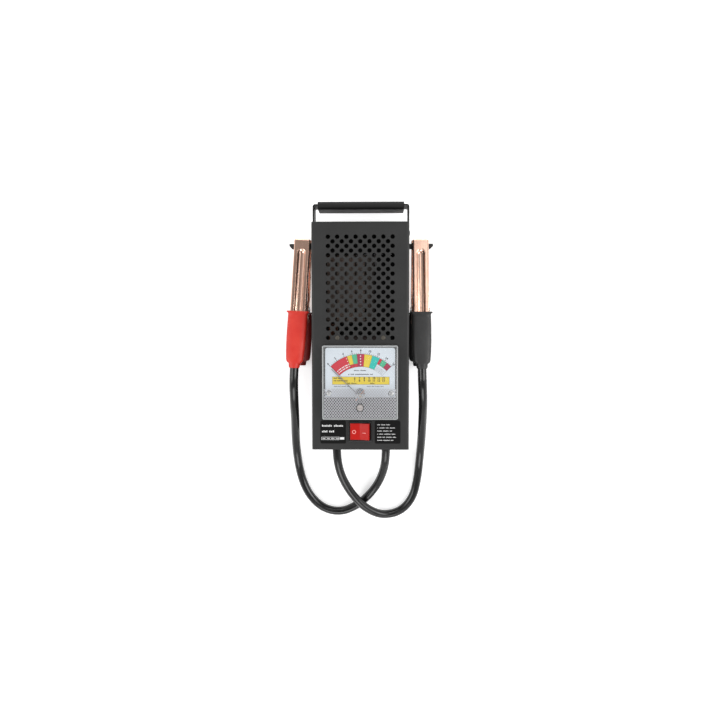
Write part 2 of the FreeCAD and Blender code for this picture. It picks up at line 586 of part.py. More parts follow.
def make_meter_fixings():
    """Mounting studs with their nuts, and the two rear terminals."""
    studs = new_body("meter_studs")
    nuts = new_body("meter_nuts")
    under = "case_depth - sheet"
    corners = [(f"{a} * meter_stud_x", f"meter_y + {b} * meter_stud_y") for a in (-1, 1) for b in (-1, 1)]
    for centre in corners:
        rod(studs, "z", centre, (f"{under} - 8", FRONT), "1.5")
        hexagon(nuts, centre, (f"{under} - 2.6", under), "3.4")
        rod(nuts, "z", centre, (f"{under} - 4", f"{under} + 1"), "1.5", cut=True)
    for sign in (-1, 1):
        centre = (f"{sign} * meter_terminal_x", "meter_y")
        rod(studs, "z", centre, ("barrel_back - 10", "barrel_back"), "2")
        hexagon(nuts, centre, ("barrel_back - 3.2", "barrel_back"), "4")
        rod(nuts, "z", centre, ("barrel_back - 5", "barrel_back + 1"), "2", cut=True)


# ---------------------------------------------------------------- switch and labels
def make_switch():
    """Rocker switch: bezel and housing, rocker, contact lever, terminals."""
    housing = new_body("switch_housing")
    y = "switch_y"
    block(housing, ("-bezel_width / 2", "bezel_width / 2"),
          (f"{y} - bezel_height / 2", f"{y} + bezel_height / 2"), (FRONT, "case_depth + bezel_sheet"))
    round_off(housing, "1.6", lambda e, c: along(e, V(0, 0, 1)))
    top = size("case_depth + bezel_sheet")
    round_off(housing, "0.8", lambda e, c: abs(c.z - top) < 0.01)
    block(housing, ("-switch_half_x", "switch_half_x"), (f"{y} - switch_half_y", f"{y} + switch_half_y"),
          ("switch_back", FRONT))
    block(housing, ("-rocker_half_x - 1", "rocker_half_x + 1"),
          (f"{y} - rocker_half_y - 0.3", f"{y} + rocker_half_y + 0.3"),
          ("switch_back + 2", "case_depth + 5"), cut=True)
    rod(housing, "y", ("0", "rocker_axis_z"), (f"{y} - 11", f"{y} + 11"), "1.55", cut=True)
    for sign in (-1, 1):
        block(housing, sides(sign, "6", "8"), (f"{y} - 3.2", f"{y} + 3.2"),
              ("switch_back - 1", "switch_back + 3"), cut=True)

    rocker = new_body("switch_rocker")
    half = "rocker_half_x"
    section = [(f"-{half}", "rocker_rise"), ("0", "rocker_rise - 1.7"), (half, "rocker_rise"),
               (half, "0.5"), ("3.5", "-5"), ("-3.5", "-5"), (f"-{half}", "0.5")]
    pad(rocker, outline(rocker, "XZ_Plane", section), "2 * rocker_half_y")
    crown = size("rocker_rise")
    round_off(rocker, "0.8", lambda e, c: along(e, V(0, 1, 0)) and c.z > crown - 0.01)
    rod(rocker, "y", ("0", "0"), ("-10.9", "10.9"), "1.5")
    lever = new_body("switch_lever")
    block(lever, ("-9", "9"), ("-4", "4"), ("0", "1.2"))
    rod(lever, "z", ("-7.5", "0"), ("-1.2", "0"), "1.8")
    for turned, height, angle in ((rocker, "rocker_axis_z", "-rocker_tilt"),
                                  (lever, "lever_axis_z", "lever_tilt")):
        turned.Placement.Rotation = FreeCAD.Rotation(V(0, 1, 0), size(angle))
        bind(turned, Base_y=y, Base_z=height)

    terminals = new_body("switch_terminals")
    for sign in (-1, 1):
        block(terminals, sides(sign, "6.2", "7.8"), (f"{y} - 3", f"{y} + 3"), ("coil_rear", "52"))
    block(terminals, ("-8.8", "-6.2"), (f"{y} - 3", f"{y} + 3"), ("51", "59.1"))
    block(terminals, ("-0.6", "7.8"), (f"{y} - 3", f"{y} + 3"), ("50.4", "52"))
    block(terminals, ("-0.6", "0.6"), (f"{y} - 3", f"{y} + 3"), ("50.4", "lever_axis_z - 0.2"))


def make_labels():
    """Two thin self-adhesive plates beside the switch."""
    for label, sign in (("left_label", -1), ("right_label", 1)):
        plate = new_body(label)
        block(plate, sides(sign, "label_x - label_width / 2", "label_x + label_width / 2"),
              ("label_low", "label_high"), (FRONT, "case_depth + label_sheet"))
        round_off(plate, "2", lambda e, c: along(e, V(0, 0, 1)))


# ---------------------------------------------------------------- clamps
# Side profile of a jaw as (y, w): w is the height over the closing plane.
JAW_PROFILE = [("tip_y", "jaw_gap"), ("tip_y", "tip_w"), ("knee_y", "knee_w"),
               ("handle_end_y", "handle_end_w"), ("handle_end_y", "handle_end_w - 6.5"),
               ("-16", "13.5"), ("-9", "-4"), ("8", "-4"), ("16", "6.5"), ("31", "8"),
               ("46", "6.2"), ("54", "jaw_gap")]
WEB_SLOPE = "(knee_w - tip_w) / (tip_y - knee_y)"


# The hollow under the web, between the cheeks: open downwards and at the handle's end.
JAW_HOLLOW = [("tip_y - jaw_sheet", "-20"), ("tip_y - jaw_sheet", "tip_w - jaw_sheet"),
              ("knee_y", "knee_w - jaw_sheet"),
              ("handle_end_y - 1", "handle_end_w - jaw_sheet + 0.22"),
              ("handle_end_y - 1", "-20")]


def raised(points, up):
    """The profile as it is for the front jaw, or turned over for the rear jaw."""
    return [(a, b if up > 0 else f"-({b})") for a, b in points]


def web_strip(low, high, depth_low, depth_high):
    """A strip that follows the web between two depths under its outer face."""
    def height(y, depth):
        return f"tip_w + (tip_y - ({y})) * {WEB_SLOPE} - ({depth})"
    return [(low, height(low, depth_low)), (high, height(high, depth_low)),
            (high, height(high, depth_high)), (low, height(low, depth_high))]


def place_clamp(thing, colour):
    """Put a piece of a clamp at its pivot, leaning a little in the panel's plane."""
    thing.Placement.Rotation = FreeCAD.Rotation(V(0, 0, 1), size(f"{colour}_lean"))
    bind(thing, Base_x=f"{colour}_clamp_x", Base_y=f"{colour}_clamp_y", Base_z="ear_middle")


def make_jaw(colour, label, up, half):
    """Pressed channel: web with a sunk rib, cheeks with teeth and a pivot hole."""
    jaw = new_body(f"{colour}_{label}")
    pad(jaw, outline(jaw, "YZ_Plane", raised(JAW_PROFILE, up)), f"2 * {half}")
    tip = size("tip_y")
    round_off(jaw, "4", lambda e, c: along(e, V(0, 0, 1)) and c.y > tip - 0.01)
    pocket(jaw, outline(jaw, "YZ_Plane", raised(JAW_HOLLOW, up)),
           f"2 * ({half} - jaw_sheet)")
    pad(jaw, outline(jaw, "YZ_Plane", raised(web_strip("14", "groove_top", "1", "2"), up)),
        "2 * groove_half + 2.4")
    pocket(jaw, outline(jaw, "YZ_Plane", raised(web_strip("-2", "groove_top", "-1", "1"), up)),
           "2 * groove_half")
    rod(jaw, "x", ("0", "0"), (f"-{half} - 1", f"{half} + 1"), "pin_radius + 0.05", cut=True)
    notch = outline(jaw, "YZ_Plane", raised([("56.5", "0"), ("58", "jaw_gap + 1.4"), ("59.5", "0")], up))
    cut = pocket(jaw, notch, f"2 * {half} + 2")
    grid(jaw, cut, [("Y", "4.4", "7")])
    place_clamp(jaw, colour)


def make_boot(colour, label, up, half):
    """Rubber sleeve over a jaw's handle, with a round collar at its end."""
    boot = new_body(f"{colour}_{label}")
    wide = "" if label == "front_boot" else "rear_"
    sleeve = feature(boot, "AdditiveWedge")
    mouth = sides(up, "mouth_low", "mouth_high")
    end = sides(up, "end_low", "end_high")
    bind(sleeve, Xmin=f"-{wide}boot_end_half", Xmax=f"{wide}boot_end_half",
         X2min=f"-{wide}boot_half", X2max=f"{wide}boot_half",
         Ymin="boot_end_y", Ymax="knee_y", Zmin=end[0], Zmax=end[1], Z2min=mouth[0], Z2max=mouth[1])
    end_y, mouth_y = size("boot_end_y"), size("knee_y")
    round_off(boot, "3.6", lambda e, c: end_y + 1 < c.y < mouth_y - 1)
    collar = feature(boot, "AdditiveCylinder")
    slope = math.degrees(math.atan2(size("handle_end_w - knee_w"), size("knee_y - handle_end_y")))
    tilt = FreeCAD.Rotation(V(1, 0, 0), 90 - up * slope)
    start = V(0, size("boot_end_y") + 2, up * size("collar_w"))
    collar.Placement = FreeCAD.Placement(start, tilt)
    bind(collar, Radius="collar_radius", Height="collar_length + 2")
    pocket(boot, outline(boot, "YZ_Plane", raised(JAW_PROFILE, up)), f"2 * {half} + 0.1")
    if label == "front_boot":
        bore = feature(boot, "SubtractiveCylinder")
        bore.Placement = FreeCAD.Placement(start + tilt.multVec(V(0, 0, -20)), tilt)
        bind(bore, Radius="lead_radius + 0.05", Height="collar_length + 40")
    place_clamp(boot, colour)


def make_pin(colour, outward):
    """Pin through the four cheeks, with a head at one end and riveted over at the other."""
    pin = new_body(f"{colour}_pivot_pin")
    half = "rear_jaw_half"
    rod(pin, "x", ("0", "0"), (f"-{half}", half), "pin_radius")
    rod(pin, "x", ("0", "0"), sides(-outward, half, f"{half} + 1.6"), "pin_radius + 1.5")
    rod(pin, "x", ("0", "0"), sides(outward, half, f"{half} + 1.2"), "pin_radius + 1")
    place_clamp(pin, colour)


def make_spring(colour):
    """Torsion spring round the pin, one leg under each handle."""
    radius, wire = size("spring_radius"), size("spring_wire")
    turns, gap = 4, 2.3
    solids = []
    for number in range(turns + 1):
        ring = Part.makeTorus(radius, wire, V((number - turns / 2) * gap, 0, 0), V(1, 0, 0))
        solids.append(ring)
    for number in range(turns):
        start = V((number - turns / 2) * gap, radius, 0)
        solids.append(Part.makeCylinder(wire * 0.8, gap, start, V(1, 0, 0)))
    for side_x, up in ((-turns / 2 * gap, 1), (turns / 2 * gap, -1)):
        start = V(side_x, 0, up * radius)
        run = V(0, -22, up * (19 - radius))
        solids.append(Part.makeCylinder(wire, run.Length, start, run))
    spring = doc.addObject("Part::Feature", f"{colour}_jaw_spring")
    spring.Label = f"{colour}_jaw_spring"
    spring.Shape = solids[0].multiFuse(solids[1:]).removeSplitter()
    place_clamp(spring, colour)


# ---------------------------------------------------------------- cables and springs
def cord_path(points):
    """Straight runs joined by tangent arcs as large as the runs allow, and the radii."""
    edges = []
    radii = []
    start = points[0]
    for before, corner, after in zip(points, points[1:], points[2:]):
        back, ahead = before - corner, after - corner
        turn = math.pi - back.getAngle(ahead)
        reach = 0.45 * min(back.Length, ahead.Length)
        radii.append(reach / math.tan(turn / 2))
        first = corner + back.normalize() * reach
        last = corner + ahead.normalize() * reach
        bisector = (back + ahead).normalize()
        middle = corner + bisector * (radii[-1] / math.cos(turn / 2) - radii[-1])
        edges.append(Part.LineSegment(start, first).toShape())
        edges.append(Part.Arc(first, middle, last).toShape())
        start = last
    edges.append(Part.LineSegment(start, points[-1]).toShape())
    return Part.Wire(edges), radii


def tube(points, radius):
    """A round cable swept along its route; its volume is checked against its length."""
    path, radii = cord_path(points)
    section = Part.Wire(Part.Circle(points[0], points[1] - points[0], radius).toShape())
    solid = path.makePipeShell([section], True, True)
    expected = math.pi * radius ** 2 * path.Length
    return solid, path.Length, radii, solid.Volume / expected


RED_ROUTE = [(-83.1, -19.3, 64.6), (-84.5, -50.3, 71.6), (-85.5, -82, 61.2), (-87.4, -110, 41),
             (-90.1, -139, 22.5), (-89.8, -169, 9), (-85, -197.4, 5.8),
             (-74.1, -222.4, 5.7), (-55, -241.1, 5.7), (-30, -246.5, 5.7),
             (-7, -236.7, 5.7), (9.8, -222, 5.9), (22.4, -204, 10.8), (30, -182, 24.4),
             (33, -158, 39), (33, -130, 39)]
BLACK_ROUTE = [(77.5, -20.2, 64.6), (77.6, -51.2, 71.6), (79.8, -82, 61.8), (81, -110, 41),
               (81.4, -139, 22), (80.2, -168, 8.8), (77.6, -198, 5.8), (71.2, -225.3, 5.7),
               (54.4, -245, 5.8), (28.6, -249.6, 9.2), (5.8, -237.2, 17.2),
               (-10.8, -218.6, 22.8), (-22.8, -198, 29), (-30.2, -177, 35.6),
               (-33, -154, 39), (-33, -130, 39)]
WIRE_ROUTES = [[(12, -60.6, 41), (18, -77, 41), (24, -95, 40.5), (24, -109, 37.6), (22, -119, 36.4)],
               [(-12, -60.6, 41), (-20, -77, 41), (-30, -90, 39.5), (-36, -100, 37), (-38, -108, 36.4)]]


def make_cable(label, routes, radius):
    """One node of cables on hand-chosen routes."""
    solids = []
    for route in routes:
        solid, length, radii, ratio = tube([V(*point) for point in route], radius)
        print(f"{label}: length {length:.1f}, volume ratio {ratio:.4f}, "
              f"radii {', '.join(f'{value:.0f}' for value in radii)}")
        solids.append(solid)
    cable = doc.addObject("Part::Feature", label)
    cable.Label = label
    cable.Shape = solids[0] if len(solids) == 1 else Part.makeCompound(solids)


def make_hairsprings():
    """Flat spirals that hold the pointer at zero, one over and one under the coil."""
    spirals = []
    for z in (78.2, 53.4):
        rings = [Part.makeTorus(radius, 0.16, V(0, size("pivot_y"), z)) for radius in (1.6, 2.3, 3, 3.7)]
        arm = Part.makeCylinder(0.16, 3.4, V(0, size("pivot_y") - 0.6, z), V(0, -1, 0))
        spirals.append(arm.multiFuse(rings))
    springs = doc.addObject("Part::Feature", "hairsprings")
    springs.Label = "hairsprings"
    springs.Shape = Part.makeCompound(spirals)


def make_switch_spring():
    """Coil spring between the rocker's foot and the contact lever."""
    rings = [Part.makeTorus(2, 0.35, V(0, size("switch_y"), 64.2 + 0.6 * number)) for number in range(10)]
    spring = doc.addObject("Part::Feature", "switch_spring")
    spring.Label = "switch_spring"
    spring.Shape = rings[0].multiFuse(rings[1:])


# ---------------------------------------------------------------- build
make_front_cover()
make_rear_chassis()
make_side_fasteners()
make_handle()
make_hanger("left_clamp_hanger", -1)
make_hanger("right_clamp_hanger", 1)
make_grommet("left_cable_grommet", -1)
make_grommet("right_cable_grommet", 1)
make_load()
make_insulators()
make_heat_shield()
make_strips()
make_meter_case()
make_movement()
make_meter_fixings()
make_hairsprings()
make_switch()
make_switch_spring()
make_labels()
for clamp_colour, outward in (("red", -1), ("black", 1)):
    make_jaw(clamp_colour, "front_jaw", 1, "jaw_half")
    make_jaw(clamp_colour, "rear_jaw", -1, "rear_jaw_half")
    make_boot(clamp_colour, "front_boot", 1, "jaw_half")
    make_boot(clamp_colour, "rear_boot", -1, "rear_jaw_half")
    make_pin(clamp_colour, outward)
    make_spring(clamp_colour)
make_cable("red_lead", [RED_ROUTE], size("lead_radius"))
make_cable("black_lead", [BLACK_ROUTE], size("lead_radius"))
make_cable("meter_wires", WIRE_ROUTES, 1.2)

doc.recompute()
for item in doc.Objects:
    if "Invalid" in item.State or "Error" in item.State:
        raise RuntimeError(f"{item.Name} did not recompute: {item.State}")

os.makedirs("parts", exist_ok=True)
nodes = [item for item in doc.Objects
         if item.TypeId == "PartDesign::Body" or item.TypeId == "Part::Feature"]
for node in nodes:
    if node.Shape.isNull() or not node.Shape.isValid() or not node.Shape.Solids:
        raise RuntimeError(f"{node.Label} has no valid solid")
    node.Shape.exportStep(f"parts/{node.Label}.step")
print(f"{len(nodes)} nodes written")
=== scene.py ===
"""Looks of the battery load tester: finishes, clamps, leads, fastener heads and printed marks.

Everything is in metres in the part's own frame: +X to the right of the front panel, +Y towards
the carrying handle, +Z out of the front panel. The tester lies on its back on a pale floor.
"""

import bmesh
import bpy
import json
import math
from mathutils import Matrix, Vector


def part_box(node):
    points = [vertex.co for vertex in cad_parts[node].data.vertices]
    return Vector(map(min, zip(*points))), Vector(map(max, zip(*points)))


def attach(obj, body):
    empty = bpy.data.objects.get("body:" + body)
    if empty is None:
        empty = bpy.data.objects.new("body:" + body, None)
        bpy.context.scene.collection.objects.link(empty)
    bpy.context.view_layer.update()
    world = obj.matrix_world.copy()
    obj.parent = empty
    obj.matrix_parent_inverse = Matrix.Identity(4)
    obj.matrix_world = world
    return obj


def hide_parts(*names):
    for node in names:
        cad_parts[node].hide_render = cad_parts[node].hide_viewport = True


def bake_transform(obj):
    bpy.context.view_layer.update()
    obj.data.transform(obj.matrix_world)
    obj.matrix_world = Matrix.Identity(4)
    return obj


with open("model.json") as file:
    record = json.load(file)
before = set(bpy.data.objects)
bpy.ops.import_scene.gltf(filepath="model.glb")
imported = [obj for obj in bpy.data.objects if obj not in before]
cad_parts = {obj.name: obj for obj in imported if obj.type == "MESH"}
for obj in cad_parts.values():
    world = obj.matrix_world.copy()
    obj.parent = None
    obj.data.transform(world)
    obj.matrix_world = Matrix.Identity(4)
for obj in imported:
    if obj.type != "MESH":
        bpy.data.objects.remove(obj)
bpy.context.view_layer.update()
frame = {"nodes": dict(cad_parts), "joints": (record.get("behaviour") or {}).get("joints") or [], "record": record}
nodes = frame["nodes"]
joints = {joint["name"]: joint for joint in frame["joints"]}
MM = 0.001


def low(node):
    """Lowest corner of a CAD node's box."""
    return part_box(node)[0]


def high(node):
    """Highest corner of a CAD node's box."""
    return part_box(node)[1]


def middle(node):
    """Centre of a CAD node's box."""
    return (low(node) + high(node)) / 2


# ---------------------------------------------------------------- materials
def grey(value):
    """A neutral colour."""
    return (value, value, value, 1)


def rgb(red, green, blue):
    """An opaque colour."""
    return (red, green, blue, 1)


def brighter(colour, factor):
    """The colour, brighter or darker."""
    return tuple(channel * factor for channel in colour[:3]) + (1,)


# Places of the colour sockets on a Mix node, which has one pair for each kind of data.
COLOUR_A, COLOUR_B, COLOUR_OUT = 6, 7, 2


class Finish:
    """One principled material, and the nodes that vary it over the surface."""

    def __init__(self, name, colour, roughness, **sockets):
        self.material = bpy.data.materials.new(name)
        self.material.use_nodes = True
        self.tree = self.material.node_tree
        self.shader = self.tree.nodes["Principled BSDF"]
        self.colour = colour
        self.shader.inputs["Base Color"].default_value = colour
        self.shader.inputs["Roughness"].default_value = roughness
        for socket, value in sockets.items():
            self.shader.inputs[socket.replace("_", " ")].default_value = value
        self.place = self.tree.nodes.new("ShaderNodeTexCoord").outputs["Object"]
        self.normal = None

    def node(self, kind, inputs=None, **settings):
        """A node with its settings and inputs; an input is a number, a colour or another's output."""
        made = self.tree.nodes.new(f"ShaderNode{kind}")
        for name, value in settings.items():
            setattr(made, name, value)
        for name, value in (inputs or {}).items():
            if isinstance(value, bpy.types.NodeSocket):
                self.tree.links.new(value, made.inputs[name])
            else:
                made.inputs[name].default_value = value
        return made

    def stretch(self, x=1.0, y=1.0, z=1.0):
        """The place in the frame, scaled on each axis."""
        return self.node("Mapping", {"Vector": self.place, "Scale": (x, y, z)}).outputs["Vector"]

    def noise(self, scale, detail=3.0, place=None):
        """Cloudy noise, from 0 to 1; the scale is in cells per metre."""
        made = self.node("TexNoise", {"Vector": place or self.place, "Scale": scale, "Detail": detail})
        return made.outputs["Fac"]

    def ramp(self, value, *stops):
        """A value through (position, grey) stops."""
        made = self.node("ValToRGB", {"Fac": value})
        band = made.color_ramp
        while len(band.elements) < len(stops):
            band.elements.new(0.5)
        for element, (position, level) in zip(band.elements, stops):
            element.position = position
            element.color = grey(level)
        return made.outputs["Color"]

    def tint(self, mask, colour):
        """Blend towards another colour where the mask is bright."""
        base = self.shader.inputs["Base Color"]
        mixed = self.node("Mix", {"Factor": mask}, data_type="RGBA")
        if base.links:
            self.tree.links.new(base.links[0].from_socket, mixed.inputs[COLOUR_A])
        else:
            mixed.inputs[COLOUR_A].default_value = self.colour
        mixed.inputs[COLOUR_B].default_value = colour
        self.tree.links.new(mixed.outputs[COLOUR_OUT], base)
        return self

    def gloss(self, mask, dull, bright):
        """Roughness from dull, where the mask is dark, to bright, where it is white."""
        made = self.node("MapRange", {"Value": mask, "To Min": dull, "To Max": bright})
        self.tree.links.new(made.outputs["Result"], self.shader.inputs["Roughness"])
        return self

    def bump(self, height, depth, strength=1.0):
        """Raise the surface by the height, in metres of depth; a second bump goes over the first."""
        made = self.node("Bump", {"Height": height, "Distance": depth, "Strength": strength})
        if self.normal:
            self.tree.links.new(self.normal, made.inputs["Normal"])
        self.normal = made.outputs["Normal"]
        self.tree.links.new(self.normal, self.shader.inputs["Normal"])
        return self

    def soft_edges(self, radius):
        """Let the shading round the sharp edges a little, as paint or moulding does."""
        made = self.node("Bevel", {"Radius": radius}, samples=4)
        self.normal = made.outputs["Normal"]
        self.tree.links.new(self.normal, self.shader.inputs["Normal"])
        return self


def powder_coat(name, colour):
    """Fine-grained satin powder coat with faint clouding."""
    made = Finish(name, colour, 0.5, Specular_IOR_Level=0.28)
    made.soft_edges(0.0006)
    made.tint(made.ramp(made.noise(35, 4), (0.35, 0), (0.75, 0.35)), brighter(colour, 1.5))
    made.gloss(made.noise(60, 5), 0.42, 0.58)
    made.bump(made.noise(2600, 2), 0.00006, 0.5)
    return made


def moulded(name, colour, roughness=0.35, grain=1500, depth=0.00004, **sockets):
    """Injection-moulded plastic with a fine eroded grain."""
    made = Finish(name, colour, roughness, **sockets)
    made.soft_edges(0.0004)
    made.gloss(made.noise(90, 4), roughness - 0.06, roughness + 0.08)
    made.bump(made.noise(grain, 2), depth, 0.6)
    return made


def rubber(name, colour, pale, roughness=0.42):
    """Dipped rubber: soft mottling, a slight bloom and shallow ripples."""
    made = Finish(name, colour, roughness, Specular_IOR_Level=0.45, Subsurface_Weight=0.04)
    made.shader.inputs["Subsurface Radius"].default_value = (0.0012, 0.0005, 0.0003)
    made.soft_edges(0.0008)
    made.tint(made.ramp(made.noise(55, 5), (0.45, 0), (0.8, 0.5)), pale)
    made.gloss(made.noise(120, 4), roughness - 0.1, roughness + 0.12)
    made.bump(made.noise(140, 3), 0.00035, 0.35)
    made.bump(made.noise(2200, 2), 0.00004, 0.5)
    return made


def plated(name, colour, roughness, streak=(1, 1, 1), dark=None):
    """Plated or rolled metal with drawing lines along one axis and faint tarnish."""
    made = Finish(name, colour, roughness, Metallic=1.0)
    made.soft_edges(0.0004)
    lines = made.noise(400, 4, made.stretch(*streak))
    made.gloss(lines, roughness * 0.7, roughness * 1.5)
    if dark:
        made.tint(made.ramp(made.noise(70, 5), (0.5, 0), (0.85, 0.6)), dark)
    made.bump(lines, 0.00003, 0.35)
    return made


def printed(name, colour, roughness=0.5, specular=0.3):
    """Screen-printed ink, a little uneven."""
    made = Finish(name, colour, roughness, Specular_IOR_Level=specular)
    made.tint(made.ramp(made.noise(900, 2), (0.4, 0), (0.9, 0.3)), brighter(colour, 0.8))
    made.bump(made.noise(3000, 1), 0.00001, 0.4)
    return made


def clear_plastic():
    """Clear styrene: nearly invisible face on, milky towards the moulded rim."""
    made = Finish("meter_clear", rgb(0.86, 0.89, 0.9), 0.05, Specular_IOR_Level=0.6)
    cover_low, cover_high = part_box("meter_cover")
    half = (cover_high - cover_low) / 2
    offset = made.node("VectorMath", {0: made.place, 1: middle("meter_cover")}, operation="SUBTRACT")
    size = made.node("VectorMath", {0: offset.outputs[0], 1: tuple(half)}, operation="DIVIDE")
    size = made.node("VectorMath", {0: size.outputs[0]}, operation="ABSOLUTE")
    split = made.node("SeparateXYZ", {0: size.outputs[0]})
    rim = made.node("Math", {0: split.outputs["X"], 1: split.outputs["Y"]}, operation="MAXIMUM")
    alpha = made.ramp(rim.outputs[0], (0.90, 0.02), (0.955, 0.08), (0.965, 0.32), (1.0, 0.42))
    made.tree.links.new(alpha, made.shader.inputs["Alpha"])
    made.bump(made.noise(25, 2), 0.0002, 0.15)
    return made


def fibre_board():
    """Pressed board, darkened by heat."""
    made = Finish("fibre_board", rgb(0.012, 0.008, 0.007), 0.8, Specular_IOR_Level=0.1)
    made.tint(made.ramp(made.noise(900, 6), (0.4, 0), (0.7, 0.8)), rgb(0.006, 0.004, 0.004))
    made.bump(made.noise(1200, 5), 0.00012, 0.8)
    return made


def heated_ribbon():
    """Resistance alloy with the straw and brown bands that heating leaves, and painted shade that darkens it
    towards +X.
    """
    made = plated("resistance_alloy", rgb(0.15, 0.125, 0.11), 0.6, (1, 0.1, 1), rgb(0.17, 0.09, 0.065))
    across = made.node("SeparateXYZ", {0: made.place}).outputs["X"]
    bright_until, dark_from = 0.004, 0.019
    # Painted shade: the ribbon darkens across +X, where it lies in shadow inside the case.
    painted_shade_ramp = made.node("MapRange", {"Value": across, "From Min": bright_until, "From Max": dark_from})
    made.tint(painted_shade_ramp.outputs["Result"], grey(0.012))
    return made


def lit_paper():
    """White paper lit from below by its own glow, with a painted shadow: no glow where the tester's vented back
    covers it.
    """
    made = Finish("floor", grey(0.85), 0.9, Specular_IOR_Level=0.1, Emission_Strength=0.45)
    back_low, back_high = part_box("rear_chassis")
    split = made.node("SeparateXYZ", {0: made.place})
    # The box under the tester's back gets no glow: a painted shadow on the floor.
    outside_painted_shadow = 0.0
    for axis, test, edge in (("X", "LESS_THAN", back_low.x), ("X", "GREATER_THAN", back_high.x),
                             ("Y", "LESS_THAN", back_low.y), ("Y", "GREATER_THAN", back_high.y)):
        beyond = made.node("Math", {0: split.outputs[axis], 1: edge}, operation=test).outputs[0]
        outside_painted_shadow = made.node("Math", {0: outside_painted_shadow, 1: beyond}, operation="MAXIMUM").outputs[0]
    glow = made.ramp(outside_painted_shadow, (0, 0), (1, 1))
    made.tree.links.new(glow, made.shader.inputs["Emission Color"])
    return made


def card_white():
    """Dial card: cool white, matt."""
    made = Finish("dial_print", rgb(0.53, 0.575, 0.62), 0.5, Specular_IOR_Level=0.3)
    made.tint(made.ramp(made.noise(300, 3), (0.4, 0), (0.9, 0.25)), rgb(0.45, 0.49, 0.55))
    made.bump(made.noise(2500, 2), 0.00002, 0.4)
    return made


FINISHES = {
    "case_paint": powder_coat("case_paint", grey(0.022)),
    "strap_paint": powder_coat("strap_paint", grey(0.004)),
    "grip_plastic": moulded("grip_plastic", grey(0.01), 0.5, 900, 0.00008, Specular_IOR_Level=0.3),
    "black_screw": plated("black_screw", grey(0.1), 0.4),
    "bright_rivet": plated("bright_rivet", grey(0.72), 0.3),
    "bush_rubber": rubber("bush_rubber", grey(0.012), grey(0.025), 0.55),
    "resistance_alloy": heated_ribbon(),
    "ceramic": moulded("ceramic", rgb(0.2, 0.18, 0.155), 0.8, 500, 0.0001, Specular_IOR_Level=0.15),
    "fibre_board": fibre_board(),
    "bare_copper": plated("bare_copper", rgb(0.2, 0.1, 0.065), 0.6, (1, 0.05, 1), rgb(0.11, 0.055, 0.04)),
    "zinc_steel": plated("zinc_steel", grey(0.3), 0.5),
    "meter_black": moulded("meter_black", grey(0.012), 0.3),
    "meter_clear": clear_plastic(),
    # Rib finish: a pale, half-opaque grey on clear plastic is a painted highlight, standing for the glints on the
    # ribs.
    "lens_ribs_painted_highlight": Finish("lens_ribs_painted_highlight", rgb(0.58, 0.58, 0.61), 0.25, Alpha=0.75),
    "shield_rivet": plated("shield_rivet", rgb(0.11, 0.1, 0.085), 0.6),
    "dial_print": card_white(),
    "screen_print": printed("screen_print", grey(0.075), 0.5),
    "magnet_iron": plated("magnet_iron", grey(0.25), 0.5),
    "bridge_metal": plated("bridge_metal", grey(0.7), 0.28, (0.1, 1, 1)),
    "fine_brass": plated("fine_brass", rgb(0.8, 0.6, 0.3), 0.25),
    "coil_wire": plated("coil_wire", rgb(0.72, 0.3, 0.16), 0.3),
    "pointer_paint": printed("pointer_paint", grey(0.16), 0.5),
    "spring_steel": plated("spring_steel", grey(0.5), 0.25),
    "adjuster_plastic": moulded("adjuster_plastic", rgb(0.4, 0.37, 0.36), 0.3),
    "switch_black": moulded("switch_black", grey(0.01), 0.22),
    "rocker_red": moulded("rocker_red", rgb(0.42, 0.012, 0.009), 0.22, Specular_IOR_Level=0.3),
    "label_film": printed("label_film", grey(0.005), 0.45, 0.12),
    "jaw_copper": plated("jaw_copper", rgb(0.92, 0.6, 0.47), 0.17, (1, 0.04, 1), rgb(0.75, 0.42, 0.3)),
    "red_rubber": rubber("red_rubber", rgb(0.55, 0.022, 0.012), rgb(0.66, 0.06, 0.035)),
    # The next two rubbers are darker copies of the red and black ones for the rear sleeves: painted shade, as the
    # rear sleeves lie in shadow under the front ones.
    "red_rubber_painted_shade": rubber("red_rubber_painted_shade", rgb(0.17, 0.006, 0.004), rgb(0.22, 0.012, 0.008)),
    "black_rubber_painted_shade": rubber("black_rubber_painted_shade", grey(0.007), grey(0.012)),
    "black_rubber": rubber("black_rubber", grey(0.018), grey(0.035)),
    "lead_sheath": moulded("lead_sheath", grey(0.007), 0.16, 700, 0.00002),
    "wire_sheath": moulded("wire_sheath", grey(0.02), 0.4),
}
INKS = {
    "red": printed("ink_red", rgb(0.46, 0.014, 0.03)),
    "crimson": printed("ink_crimson", rgb(0.3, 0.01, 0.05)),
    "yellow": printed("ink_yellow", rgb(0.6, 0.46, 0.035)),
    "green": printed("ink_green", rgb(0.06, 0.36, 0.2)),
    "turquoise": printed("ink_turquoise", rgb(0.015, 0.4, 0.34)),
    "black": printed("ink_black", grey(0.02)),
    "grey": printed("ink_grey", grey(0.09)),
    "white": printed("ink_white", grey(0.68)),
    "pink": printed("ink_pink", rgb(0.8, 0.36, 0.33)),
}


def wear(thing, finish):
    """Give a piece one material."""
    thing.data.materials.clear()
    thing.data.materials.append(finish.material)


for part in frame["record"]["subparts"]:
    wear(nodes[part["node"]], FINISHES[part["material_slot"]])


